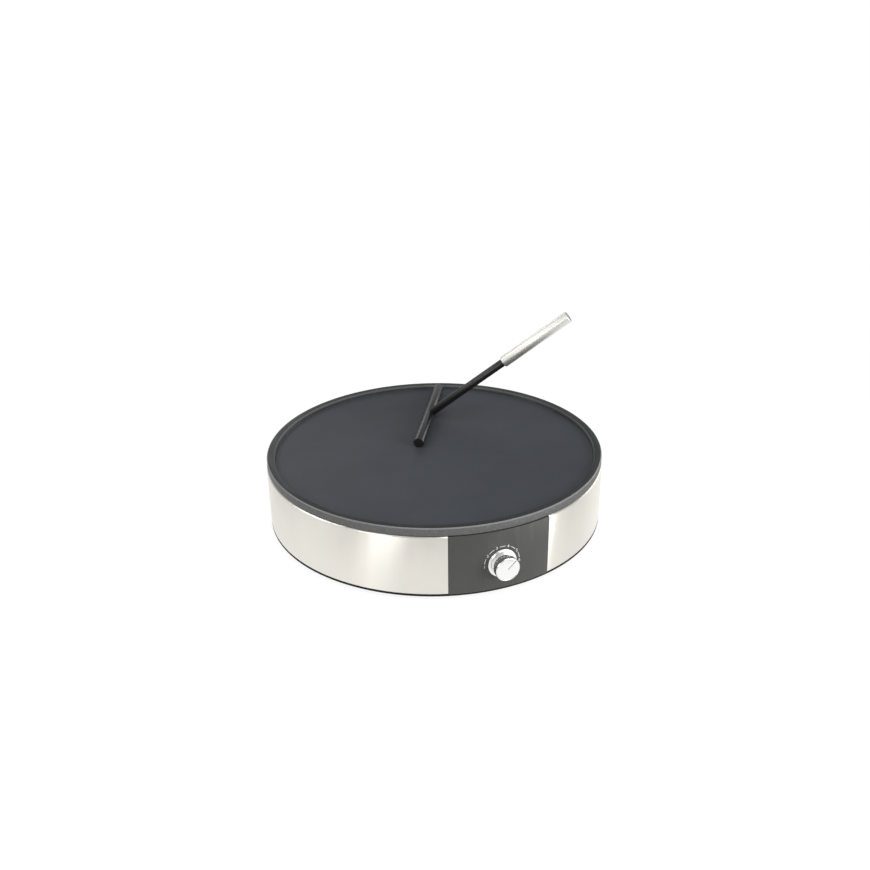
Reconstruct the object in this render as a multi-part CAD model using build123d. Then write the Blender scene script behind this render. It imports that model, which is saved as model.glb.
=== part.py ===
from build123d import *
import os
from math import cos, radians, sin

# Countertop electric crepe maker with its loose batter spreader, as an assembly of separate pieces.
# Millimetres, +Z up. The origin is the centre of the plane that the feet stand on, and the control
# panel faces -Y. Angles are in degrees, counterclockwise from +X seen from above.

# ---------------------------------------------------------------- driving dimensions

# clearances
CUT = 1.0              # how far a cut runs past the face that it opens
ROOT = 1.0             # how far a rib or wall runs into the one that it joins
TIP_ROOM = 1.0         # free depth past the tip of a screw in a blind hole
SLIP = 0.05            # radial gap of a pin, screw or shaft in its own hole
LOOSE = 0.3            # radial gap of a screw or sleeve in a clearance hole
SEAM = 0.4             # visible gap between the steel band and the control panel
SHADOW_GAP = 1.0       # gap between the band and the hotplate's skirt
SPIGOT_GAP = 1.0       # gap between the hotplate's locating ring and what it stands inside
KNOB_GAP = 0.5         # gap between the knob and the bezel ring

# hotplate
PLATE_R = 176.0
PLATE_TOP_Z = 77.0
SKIRT_H = 8.0
PLATE_EDGE = 1.0
RIM_LAND_W = 7.2
RIM_SLOPE_W = 2.3
RIM_H = 4.5
PLATE_T = 5.5
SPIGOT_W = 3.0
SPIGOT_H = 6.5
RIDGE_W = 13.0
RIDGE_H = 7.0
PLATE_RIB_W = 3.0
PLATE_RIB_H = 4.0
PLATE_RIB_COUNT = 12
HUB_R = 14.0
HUB_RIB_COUNT = 6
SMALL_BOSS_R = 4.5
STUD_BOSS_R = 7.0

# heating element
HEATER_W = 6.5
HEATER_H = 6.4
HEATER_GAP = 0.1            # between the heater and its channel, all round
LOOP_IN = 37.5              # outer turn of the heater, in from the edge of the cooking surface
LOOP_TURN_GAP = 56.0        # between the centre lines of the two turns
LOOP_END_ANGLE = -72.0
LOOP_BEND_ANGLE = 250.0
COLD_BEND_R = 9.0
COLD_END_Z = 44.0
PIN_R = 1.5
PIN_L = 3.0
POCKET_L = 30.0
POCKET_W = 9.0

# element clamps, each one strap across both turns of the heater
CLAMP_T = 1.2
CLAMP_W = 10.0
CLAMP_ANGLES = (0.0, 110.0, 200.0)

# hexagon-head screws, as (head radius over corners, head height, shank radius)
SMALL_SCREW = (3.0, 1.8, 1.5)
PLATE_SCREW = (4.5, 3.6, 2.5)
SMALL_SCREW_GRIP = 6.5
RIM_SCREW_SEAT_Z = 4.1

# plate columns: base pillar, spacer sleeve, heat shield and plate boss on one long screw
COLUMN_ANGLES = (45.0, 135.0, 225.0, 315.0)
PILLAR_R = 7.0
PILLAR_TOP_Z = 34.0
PILLAR_WALL = 1.7
SCREW_SEAT_Z = 12.0
PLATE_SCREW_GRIP = 10.0
SLEEVE_R = 4.5
SLEEVE_H = 18.0

# heat shield
SHIELD_IN = 26.5            # in from the band's face
SHIELD_T = 0.8
SHIELD_RIM_H = 6.0
SHIELD_PORT_W = 13.0
SHIELD_LEAD_PORT_W = 8.0

# steel side band
BAND_T = 0.8
BAND_BEND = 1.0
BAND_GAP_TO_PLATE = 0.5     # the plate's skirt stands this much inside the band's face
BAND_FOLD_BOTTOM = 10.0
BAND_FOLD_TOP = 6.0
BAND_END_FOLD = 10.5
BAND_SCREW_ANGLES = (35.0, 145.0)

# base
BASE_BOTTOM_Z = 2.2
BASE_LIP_Z = 5.8
BASE_DRAFT = 2.8
BASE_SKIRT_W = 9.0
BASE_SKIRT_STEP = 2.0
BASE_LIP_EDGE = 1.5
BASE_GROOVE_H = 0.8         # shadow line under the band and the panel
BASE_GROOVE_D = 0.8
FLOOR_BOTTOM_Z = 5.0
FLOOR_T = 2.5
RING_WALL_T = 2.5
RING_WALL_H = 16.0
RING_GAP_SPARE = 2.0        # the ring wall ends this far beside the panel's hooks
RIB_T = 2.0
RIB_H = 8.0
RIB_COUNT = 8
RIB_START_R = 30.0
RIM_SCREW_IN = 6.5          # in from the band's face
VENT_W = 4.0
VENT_INNER_IN = 45.0        # in from the ring of columns
VENT_INNER_L = 22.0
VENT_INNER_COUNT = 12
VENT_OUTER_L = 26.0
VENT_OUTER_COUNT = 24
VENT_FREE_BACK = 20.0       # degrees each side of the back without vents, under the mains terminals

# feet
FOOT_R = 9.0
FOOT_IN = 26.5              # in from the band's face
FOOT_ANGLES = (45.0, 135.0, 225.0, 315.0)
FOOT_EDGE = 0.8
FOOT_STEM_R = 2.5
FOOT_STEM_H = 4.0

# control panel
PANEL_HALF_ANGLE = 16.8
PANEL_T = 3.0
PANEL_RIB_T = 2.0
PANEL_HOOK_W = 3.5
PANEL_HOOK_T = 3.0
PANEL_TOP_SHELF_W = 6.0
PANEL_BOSS_R = 4.0
PANEL_BOSS_H = 14.5
PANEL_BOSS_ANGLE = 11.5

# dial and knob
DIAL_Z = 33.0
SHAFT_HOLE_R = 4.0
BEZEL_R = 14.5
BEZEL_FLOOR_T = 0.8
BEZEL_RAISED = 0.8
BEZEL_EDGE = 0.3
KNOB_R = 12.0
KNOB_FRONT = 13.2           # how far the knob's face stands out from the panel
KNOB_SLEEVE_T = 1.0
KNOB_EDGE = 0.6
KNOB_FACE_T = 1.0
KNOB_FACE_SET = 0.2
KNOB_CORE_SET = 1.0
KNOB_CORE_WALL = 1.5
KNOB_CORE_CAP_T = 2.0
KNOB_POINTER_ANGLE = 45.0   # clockwise from 12 o'clock, seen from the front
POINTER_W = 1.4
POINTER_DEPTH = 0.35
SHAFT_R = 3.0
SHAFT_FLAT = 1.5
SHAFT_IN_KNOB = 8.0

# thermostat
THERMO_W = 32.0
THERMO_H = 30.0
THERMO_D = 26.0
THERMO_IN = 11.5            # its front face, in from the band's face
THERMO_BORE_D = 14.0
THERMO_EDGE = 3.0
COLLAR_R = 5.0
COLLAR_H = 5.0
BRACKET_T = 1.2
BRACKET_L = 64.0
BRACKET_H = 20.0
BRACKET_SCREW_X = 26.0
TAB_W = 6.3
TAB_T = 0.8
TAB_L = 9.0
TAB_X = 8.0
TAB_DROP = 6.0
RECEPTACLE_T = 1.0
RECEPTACLE_BACK = 2.0       # closed end of a receptacle past the tab's tip

# sensor bulb, capillary and thermal cutout
BULB_R = 2.25
BULB_L = 60.0
BULB_OUT = 4.0              # out from the middle between the heater's turns
BULB_ANGLE = -22.5
CAPILLARY_R = 0.9
CAPILLARY_RUN = 14.0
CAPILLARY_RISE = 6.0
CAPILLARY_TURN_X = 66.0
CAPILLARY_TURN_IN = 38.5    # in from the band's face
CLIP_T = 0.8
CLIP_FOOT = 7.0
CLIP_W = 8.0
CUTOUT_R = 4.0
CUTOUT_L = 20.0
CUTOUT_Y = -35.0
CUTOUT_ANGLE = 270.0        # no hub rib runs here, where the cutout lies

# cord inlet, mains terminals and wiring
CORD_Z = 20.0
CORD_R = 3.6
CORD_HOLE_R = 3.75
GROMMET_R = 6.8
GROMMET_FLANGE_R = 9.5
GROMMET_FLANGE_T = 2.2
GROMMET_COLLAR_R = 8.2
GROMMET_COLLAR_T = 2.0
TOWER_W = 24.0
TOWER_D = 8.0
TOWER_TOP_Z = 30.0
CORD_CLAMP_IN = 30.5        # in from the band's face
CORD_CLAMP_X = 12.0
CORD_CLAMP_T = 3.0
CORD_CLAMP_W = 7.0
TERMINAL_IN = 20.0          # in from the cord clamp
TERMINAL_W = 34.0
TERMINAL_D = 16.0
TERMINAL_H = 14.0
TERMINAL_PITCH = 10.0
TERMINAL_NOTCH_W = 2.0
TERMINAL_NOTCH_D = 4.0
TERMINAL_SCREW_SET = 1.0
LEAD_R = 1.25
LEAD_BEND_R = 5.0
LEAD_Z = 20.0
LEAD_STRAIGHT = 5.0         # out of the terminal block before the lead rises
LEAD_RISE_Y = 14.0
LEAD_TAB_RUN = 12.0         # straight run behind a tab of the thermostat
LIVE_LEAD_DROP_Y = 26.0
HEATER_LEAD_RUN = 24.0
LEAD_RISE_OUT = 16.0        # out from the cutout's end to the lead that comes up to it
NEUTRAL_LEAD_IN = 18.7      # in from the columns
EARTH_LEAD_OUT = 7.5        # out from the earth screw

# spreader
BAR_R = 5.6
BAR_L = 155.0
BAR_EDGE = 0.5
BAR_NEAR_END = (-14.3, 8.5)
BAR_HEADING = 60.9
STICK_R = 4.4
STICK_TILT = 38.5
HANDLE_R = 6.3
HANDLE_T = 0.7
HANDLE_START = 106.0
HANDLE_END = 193.0
HANDLE_EDGE = 0.8
FERRULE_L = 24.0
END_CAP_L = 5.0

# ---------------------------------------------------------------- levels and radii that follow

COOK_Z = PLATE_TOP_Z - RIM_H
COOK_R = PLATE_R - RIM_LAND_W - RIM_SLOPE_W
UNDER_Z = COOK_Z - PLATE_T
SKIRT_Z = PLATE_TOP_Z - SKIRT_H
RIDGE_Z = UNDER_Z - RIDGE_H
SPIGOT_Z = SKIRT_Z - SPIGOT_H
BODY_R = PLATE_R + BAND_GAP_TO_PLATE
LOOP_OUTER_R = COOK_R - LOOP_IN
LOOP_INNER_R = LOOP_OUTER_R - LOOP_TURN_GAP
LOOP_MID_R = (LOOP_OUTER_R + LOOP_INNER_R) / 2
LOOP_BEND_R = (LOOP_OUTER_R - LOOP_INNER_R) / 2
LOOP_SWEEP = LOOP_BEND_ANGLE - LOOP_END_ANGLE
COLUMN_RING_R = LOOP_MID_R
SHIELD_R = BODY_R - SHIELD_IN
RIM_SCREW_R = BODY_R - RIM_SCREW_IN
FOOT_RING_R = BODY_R - FOOT_IN
VENT_INNER_R = COLUMN_RING_R - VENT_INNER_IN
VENT_OUTER_R = (COLUMN_RING_R + FOOT_RING_R) / 2
THERMO_FRONT = BODY_R - THERMO_IN
BULB_RING_R = LOOP_MID_R + BULB_OUT
CORD_CLAMP_Y = BODY_R - CORD_CLAMP_IN
TERMINAL_Y = CORD_CLAMP_Y - TERMINAL_IN
EARTH_Y = LOOP_MID_R
EARTH_LEAD_Y = EARTH_Y + EARTH_LEAD_OUT
LEAD_RISE_X = CUTOUT_L / 2 + LEAD_RISE_OUT
NEUTRAL_LEAD_X = COLUMN_RING_R * cos(radians(COLUMN_ANGLES[0])) - NEUTRAL_LEAD_IN
BAND_TOP_Z = SKIRT_Z - SHADOW_GAP
BAND_IN_R = BODY_R - BAND_T
BAND_END_R = BODY_R - BAND_END_FOLD
SPIGOT_R = BODY_R - BAND_FOLD_TOP - SPIGOT_GAP
FLOOR_Z = FLOOR_BOTTOM_Z + FLOOR_T
RING_WALL_R = BODY_R - BAND_FOLD_BOTTOM - LOOSE
SHIELD_Z = PILLAR_TOP_Z + SLEEVE_H
STUD_BOSS_Z = SHIELD_Z + SHIELD_T
HEATER_AXIS_Z = RIDGE_Z + HEATER_H / 2
BULB_Z = UNDER_Z - BULB_R - SLIP
CUTOUT_Z = UNDER_Z - CUTOUT_R - SLIP
PANEL_BACK = BODY_R - PANEL_T
BEZEL_SEAT = BODY_R - BEZEL_FLOOR_T
KNOB_BACK = BODY_R + BEZEL_RAISED + KNOB_GAP
KNOB_TOP = BODY_R + KNOB_FRONT
CORE_R = KNOB_R - KNOB_SLEEVE_T - SLIP
TAB_Z = DIAL_Z - TAB_DROP
THERMO_BACK_Y = -(THERMO_FRONT - THERMO_D)
TERMINAL_FRONT_Y = TERMINAL_Y - TERMINAL_D / 2
TERMINAL_LEAD_Z = FLOOR_Z + TERMINAL_H / 2
BAR_Z = COOK_Z + BAR_R
HANDLE_BORE_R = HANDLE_R - HANDLE_T

FRONT = Plane(origin=(0, 0, DIAL_Z), x_dir=(1, 0, 0), z_dir=(0, -1, 0))
BACK = Plane(origin=(0, 0, CORD_Z), x_dir=(-1, 0, 0), z_dir=(0, 1, 0))
UP_FROM_BASE = (Align.CENTER, Align.CENTER, Align.MIN)

# ---------------------------------------------------------------- shared shapes


def polar(radius, angle):
    return radius * cos(radians(angle)), radius * sin(radians(angle))


def at(radius, angle, z=0.0):
    """Place on a circle about Z, with local X pointing outwards."""
    return Rot(0, 0, angle) * Pos(radius, 0, z)


def rod(radius, z0, z1):
    return Pos(0, 0, z0) * Cylinder(radius, z1 - z0, align=UP_FROM_BASE)


def ring(outer_r, inner_r, z0, z1):
    return rod(outer_r, z0, z1) - rod(inner_r, z0 - CUT, z1 + CUT)


def block(x, y, z):
    """Box from its (low, high) pairs."""
    low, high = zip(x, y, z)
    size = [b - a for a, b in zip(low, high)]
    return Pos(*low) * Box(*size, align=Align.MIN)


def revolved(outline, sweep_angle=360.0):
    """Body of revolution about Z of an (r, z) outline."""
    return revolve(Plane.XZ * make_face(Polyline(*outline, close=True)), Axis.Z, sweep_angle)


def screw(size, seat_z, grip, flip=False):
    """Screw whose head's underside lies at seat_z. It points up, or down when flipped."""
    head_r, head_h, shank_r = size
    body = extrude(Pos(0, 0, -head_h) * RegularPolygon(head_r, 6), head_h) + rod(shank_r, 0, grip)
    return Pos(0, 0, seat_z) * (Rot(180, 0, 0) * body if flip else body)


def group(parts):
    return Compound(children=[solid for part in parts for solid in part.solids()])


def hex_tube(points, radius, bend):
    """Wire or capillary: a six-sided section along straight runs joined by tangent arcs."""
    path = FilletPolyline(*points, radius=bend)
    section = Plane(path @ 0, z_dir=path % 0) * RegularPolygon(radius, 6)
    return sweep(section, path=path)


# ---------------------------------------------------------------- cooking surface


def heater_path():
    outer = CenterArc((0, 0), LOOP_OUTER_R, LOOP_END_ANGLE, LOOP_SWEEP)
    bend = CenterArc(polar(LOOP_MID_R, LOOP_BEND_ANGLE), LOOP_BEND_R, LOOP_BEND_ANGLE, 180)
    inner = CenterArc((0, 0), LOOP_INNER_R, LOOP_BEND_ANGLE, -LOOP_SWEEP)
    return [outer, bend, inner]


def cold_end_place(loop_r):
    """Where the heater's straight end goes down, one bend radius past the end of its loop."""
    return Rot(0, 0, LOOP_END_ANGLE) * Pos(loop_r, -COLD_BEND_R, 0)


def clamp_places():
    return [at(LOOP_MID_R, a) for a in CLAMP_ANGLES]


def bulb_place():
    return at(BULB_RING_R, BULB_ANGLE, BULB_Z)


def cutout_place():
    return Pos(0, CUTOUT_Y, CUTOUT_Z) * Rot(0, 0, 90)


def clip_screw_places():
    """Screw places at the level of the hotplate's underside."""
    foot_middle = CLIP_T + CLIP_FOOT / 2
    bulb = bulb_place() * Pos(BULB_R + foot_middle, 0, UNDER_Z - BULB_Z)
    cutout = cutout_place() * Pos(CUTOUT_R + foot_middle, 0, UNDER_Z - CUTOUT_Z)
    return [bulb, cutout]


def hotplate():
    slope_r = COOK_R + RIM_SLOPE_W
    plate = revolved(
        [
            (0, COOK_Z), (COOK_R, COOK_Z), (slope_r, PLATE_TOP_Z),
            (PLATE_R - PLATE_EDGE, PLATE_TOP_Z), (PLATE_R, PLATE_TOP_Z - PLATE_EDGE),
            (PLATE_R, SKIRT_Z), (SPIGOT_R, SKIRT_Z), (SPIGOT_R, SPIGOT_Z),
            (SPIGOT_R - SPIGOT_W, SPIGOT_Z), (SPIGOT_R - SPIGOT_W, UNDER_Z), (0, UNDER_Z),
        ]
    )
    path = heater_path()
    plate += extrude(Pos(0, 0, RIDGE_Z) * trace(path, RIDGE_W), RIDGE_H)
    pocket_shift = Pos(0, -(POCKET_L - POCKET_W) / 2, 0)
    for loop_r in (LOOP_OUTER_R, LOOP_INNER_R):
        end = Rot(0, 0, LOOP_END_ANGLE) * Pos(loop_r, 0, RIDGE_Z) * pocket_shift * Rot(0, 0, 90)
        plate += extrude(end * SlotOverall(POCKET_L + RIDGE_W - POCKET_W, RIDGE_W), RIDGE_H)
    rib_in = LOOP_OUTER_R + RIDGE_W / 2 - ROOT
    rib_out = SPIGOT_R - SPIGOT_W + ROOT
    half = PLATE_RIB_W / 2
    for step in range(PLATE_RIB_COUNT):
        turn = Rot(0, 0, (step + 0.5) * 360 / PLATE_RIB_COUNT)
        plate += turn * block((rib_in, rib_out), (-half, half), (UNDER_Z - PLATE_RIB_H, UNDER_Z))
    plate += rod(HUB_R, UNDER_Z - PLATE_RIB_H, UNDER_Z)
    hub_rib_end = LOOP_INNER_R - RIDGE_W / 2 + ROOT
    for step in range(HUB_RIB_COUNT):
        angle = (step + 0.5) * 360 / HUB_RIB_COUNT
        if angle != CUTOUT_ANGLE:
            rib = block((HUB_R - ROOT, hub_rib_end), (-half, half), (UNDER_Z - PLATE_RIB_H, UNDER_Z))
            plate += Rot(0, 0, angle) * rib
    for angle in COLUMN_ANGLES:
        plate += at(COLUMN_RING_R, angle) * rod(STUD_BOSS_R, STUD_BOSS_Z, UNDER_Z)
    for place in clamp_places() + [Pos(0, EARTH_Y, 0)]:
        plate += place * rod(SMALL_BOSS_R, RIDGE_Z, UNDER_Z)
    # heater channel, end pockets and screw holes
    plate -= extrude(Pos(0, 0, RIDGE_Z) * trace(path, HEATER_W + 2 * HEATER_GAP), HEATER_H + 2 * HEATER_GAP)
    for loop_r in (LOOP_OUTER_R, LOOP_INNER_R):
        end = Rot(0, 0, LOOP_END_ANGLE) * Pos(loop_r, 0, RIDGE_Z) * pocket_shift * Rot(0, 0, 90)
        plate -= extrude(end * SlotOverall(POCKET_L, POCKET_W), HEATER_H + 2 * HEATER_GAP)
    shank_r = SMALL_SCREW[2] + SLIP
    for place in clamp_places() + [Pos(0, EARTH_Y, 0)]:
        plate -= place * rod(shank_r, RIDGE_Z - CUT, RIDGE_Z + SMALL_SCREW_GRIP)
    for place in clip_screw_places():
        plate -= place * rod(shank_r, -PLATE_RIB_H, PLATE_T / 2)
    for angle in COLUMN_ANGLES:
        stud_top = STUD_BOSS_Z + PLATE_SCREW_GRIP
        plate -= at(COLUMN_RING_R, angle) * rod(PLATE_SCREW[2] + SLIP, STUD_BOSS_Z - CUT, stud_top)
    return plate


def heating_element():
    element = extrude(Pos(0, 0, RIDGE_Z) * trace(heater_path(), HEATER_W), HEATER_H)
    for loop_r in (LOOP_OUTER_R, LOOP_INNER_R):
        start = Plane(
            (Rot(0, 0, LOOP_END_ANGLE) * Pos(loop_r, 0, HEATER_AXIS_Z)).position,
            x_dir=(Rot(0, 0, LOOP_END_ANGLE) * Pos(1, 0, 0)).position,
            z_dir=(Rot(0, 0, LOOP_END_ANGLE) * Pos(0, -1, 0)).position,
        )
        corner = revolve(Circle(HEATER_H / 2), Axis((0, -COLD_BEND_R, 0), (1, 0, 0)), 90)
        element += start * corner
        element += cold_end_place(loop_r) * rod(HEATER_H / 2, COLD_END_Z, HEATER_AXIS_Z - COLD_BEND_R)
    return element


def element_terminals():
    pin_z = COLD_END_Z - PIN_L
    pins = []
    for loop_r in (LOOP_OUTER_R, LOOP_INNER_R):
        pin = rod(PIN_R, pin_z, COLD_END_Z)
        tab = block((-TAB_W / 2, TAB_W / 2), (-TAB_T / 2, TAB_T / 2), (pin_z - TAB_L, pin_z))
        pins.append(cold_end_place(loop_r) * (pin + tab))
    return group(pins)


def element_clamps():
    reach = LOOP_BEND_R + RIDGE_W / 2
    strap = block((-reach, reach), (-CLAMP_W / 2, CLAMP_W / 2), (RIDGE_Z - CLAMP_T, RIDGE_Z))
    strap -= rod(SMALL_SCREW[2] + LOOSE / 2, RIDGE_Z - 2 * CLAMP_T, RIDGE_Z + CUT)
    return group([place * strap for place in clamp_places()])


def clamp_screws():
    seat = RIDGE_Z - CLAMP_T
    return group([place * screw(SMALL_SCREW, seat, SMALL_SCREW_GRIP) for place in clamp_places()])


def clip_screws():
    bolt = screw(SMALL_SCREW, -CLIP_T, PLATE_T / 2 + CLIP_T - SLIP)
    return group([place * bolt for place in clip_screw_places()])


def saddle_clip(held_r):
    """Spring clip over a round piece that lies under a flat face. Local Y is that piece's axis."""
    inner_r = held_r + SLIP
    outer_r = inner_r + CLIP_T
    width = (-CLIP_W / 2, CLIP_W / 2)
    clip = Rot(90, 0, 0) * rod(outer_r, *width) + block((-outer_r, outer_r), width, (0, inner_r))
    clip += block((0, outer_r + CLIP_FOOT), width, (inner_r - CLIP_T, inner_r))
    clip -= Rot(90, 0, 0) * rod(inner_r, -CLIP_W, CLIP_W)
    clip -= block((-inner_r, inner_r), (-CLIP_W, CLIP_W), (0, inner_r))
    clip -= block((-outer_r, outer_r), (-CLIP_W, CLIP_W), (inner_r, 2 * outer_r))
    hole_x = held_r + CLIP_T + CLIP_FOOT / 2
    return clip - Pos(hole_x, 0, 0) * rod(SMALL_SCREW[2] + LOOSE / 2, 0, 2 * inner_r)


def sensor_bulb():
    return bulb_place() * Rot(90, 0, 0) * rod(BULB_R, -BULB_L / 2, BULB_L / 2)


def bulb_clip():
    return bulb_place() * saddle_clip(BULB_R)


def thermal_cutout():
    return cutout_place() * Rot(90, 0, 0) * rod(CUTOUT_R, -CUTOUT_L / 2, CUTOUT_L / 2)


def cutout_clip():
    return cutout_place() * saddle_clip(CUTOUT_R)


def earth_screw():
    return Pos(0, EARTH_Y, 0) * screw(SMALL_SCREW, RIDGE_Z - TAB_T, SMALL_SCREW_GRIP)


# ---------------------------------------------------------------- columns and heat shield


def heat_shield():
    pan = rod(SHIELD_R, SHIELD_Z, SHIELD_Z + SHIELD_RIM_H)
    pan -= rod(SHIELD_R - SHIELD_T, SHIELD_Z + SHIELD_T, SHIELD_Z + SHIELD_RIM_H + CUT)
    ports = [at(COLUMN_RING_R, a) * Circle(PLATE_SCREW[2] + LOOSE) for a in COLUMN_ANGLES]
    square = Rectangle(SHIELD_PORT_W, SHIELD_PORT_W)
    ports += [cold_end_place(r) * square for r in (LOOP_OUTER_R, LOOP_INNER_R)]
    lead_ports = [
        (LEAD_RISE_X, CUTOUT_Y), (-LEAD_RISE_X, CUTOUT_Y), (0, EARTH_LEAD_Y), capillary_points()[1][:2],
    ]
    lead_port = Rectangle(SHIELD_LEAD_PORT_W, SHIELD_LEAD_PORT_W)
    ports += [Pos(*xy) * lead_port for xy in lead_ports]
    for port in ports:
        pan -= extrude(Pos(0, 0, SHIELD_Z - CUT) * port, SHIELD_T + 2 * CUT)
    return pan


def spacer_sleeves():
    sleeve = ring(SLEEVE_R, PLATE_SCREW[2] + LOOSE / 2, PILLAR_TOP_Z, SHIELD_Z)
    return group([at(COLUMN_RING_R, a) * sleeve for a in COLUMN_ANGLES])


def plate_screws():
    grip = STUD_BOSS_Z + PLATE_SCREW_GRIP - TIP_ROOM - SCREW_SEAT_Z
    bolt = screw(PLATE_SCREW, SCREW_SEAT_Z, grip)
    return group([at(COLUMN_RING_R, a) * bolt for a in COLUMN_ANGLES])


# ---------------------------------------------------------------- body


def side_band():
    top_r = BODY_R - BAND_FOLD_TOP
    bottom_r = BODY_R - BAND_FOLD_BOTTOM
    seam_angle = PANEL_HALF_ANGLE + SEAM / radians(BODY_R)
    sweep_angle = 360 - 2 * seam_angle
    inner_bend = BAND_BEND - BAND_T / 2
    band = revolved(
        [
            (bottom_r, BASE_LIP_Z), (BODY_R - BAND_BEND, BASE_LIP_Z), (BODY_R, BASE_LIP_Z + BAND_BEND),
            (BODY_R, BAND_TOP_Z - BAND_BEND), (BODY_R - BAND_BEND, BAND_TOP_Z), (top_r, BAND_TOP_Z),
            (top_r, BAND_TOP_Z - BAND_T), (BAND_IN_R - inner_bend, BAND_TOP_Z - BAND_T),
            (BAND_IN_R, BAND_TOP_Z - BAND_T - inner_bend), (BAND_IN_R, BASE_LIP_Z + BAND_T + inner_bend),
            (BAND_IN_R - inner_bend, BASE_LIP_Z + BAND_T), (bottom_r, BASE_LIP_Z + BAND_T),
        ],
        sweep_angle,
    )
    band = Rot(0, 0, -90 + seam_angle) * band
    face_r = BODY_R - BAND_T / 2
    low_z, high_z = BASE_LIP_Z + BAND_BEND, BAND_TOP_Z - BAND_BEND
    fold = block((BAND_END_R, face_r), (0, BAND_T), (low_z, SPIGOT_Z - SPIGOT_GAP))
    fold += block((top_r, face_r), (0, BAND_T), (low_z, high_z))
    fold = Rot(0, 0, -90 + seam_angle) * fold
    band += fold + mirror(fold, Plane.YZ)
    for angle in BAND_SCREW_ANGLES:
        band -= at(RIM_SCREW_R, angle) * rod(SMALL_SCREW[2] + SLIP, 0, PILLAR_TOP_Z)
    band -= BACK * rod(GROMMET_R + SLIP, RING_WALL_R, BODY_R + CUT)
    return band


def band_screws():
    bolt = screw(SMALL_SCREW, RIM_SCREW_SEAT_Z, SMALL_SCREW_GRIP)
    return group([at(RIM_SCREW_R, a) * bolt for a in BAND_SCREW_ANGLES])


def panel_wall(inner_r, outer_r, z0, z1):
    """Stretch of a round wall across the opening at the front."""
    reach = 2 * outer_r
    left, right = polar(reach, -90 - PANEL_HALF_ANGLE), polar(reach, -90 + PANEL_HALF_ANGLE)
    wedge = Polygon((0, 0), left, right, align=None)
    sector = (Circle(outer_r) - Circle(inner_r)) & wedge
    return extrude(Pos(0, 0, z0) * sector, z1 - z0)


def control_panel():
    panel = panel_wall(PANEL_BACK, BODY_R, BASE_LIP_Z, BAND_TOP_Z)
    panel += panel_wall(BODY_R - PANEL_TOP_SHELF_W, PANEL_BACK + ROOT, BAND_TOP_Z - RIB_T, BAND_TOP_Z)
    # side ribs with a hook behind each folded end of the band
    hook_r = BAND_END_R - LOOSE
    z_span = (BASE_LIP_Z, SPIGOT_Z - SPIGOT_GAP)
    rib = block((hook_r - PANEL_HOOK_T, PANEL_BACK + ROOT), (-PANEL_RIB_T, 0), z_span)
    rib += block((hook_r - PANEL_HOOK_T, hook_r), (-PANEL_RIB_T, PANEL_HOOK_W), z_span)
    rib = Rot(0, 0, -90 + PANEL_HALF_ANGLE) * rib
    panel += rib + mirror(rib, Plane.YZ)
    shank_r = SMALL_SCREW[2] + SLIP
    for side in (-1, 1):
        place = at(RIM_SCREW_R, -90 + side * PANEL_BOSS_ANGLE)
        panel += place * rod(PANEL_BOSS_R, BASE_LIP_Z, BASE_LIP_Z + PANEL_BOSS_H)
        panel -= place * rod(shank_r, BASE_LIP_Z - CUT, BASE_LIP_Z + PANEL_BOSS_H - RIB_T)
        boss = FRONT * Pos(side * BRACKET_SCREW_X, 0, 0)
        panel += boss * rod(PANEL_BOSS_R, THERMO_FRONT + BRACKET_T, PANEL_BACK)
        panel -= boss * rod(shank_r, THERMO_FRONT, THERMO_FRONT + BRACKET_T + SMALL_SCREW_GRIP - TIP_ROOM)
    panel -= FRONT * rod(BEZEL_R + SLIP, BEZEL_SEAT, BODY_R + CUT)
    panel -= FRONT * rod(SHAFT_HOLE_R, THERMO_FRONT, BODY_R + CUT)
    return panel


def panel_screws():
    bolt = screw(SMALL_SCREW, RIM_SCREW_SEAT_Z, 2 * SMALL_SCREW_GRIP)
    return group([at(RIM_SCREW_R, -90 + side * PANEL_BOSS_ANGLE) * bolt for side in (-1, 1)])


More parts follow.
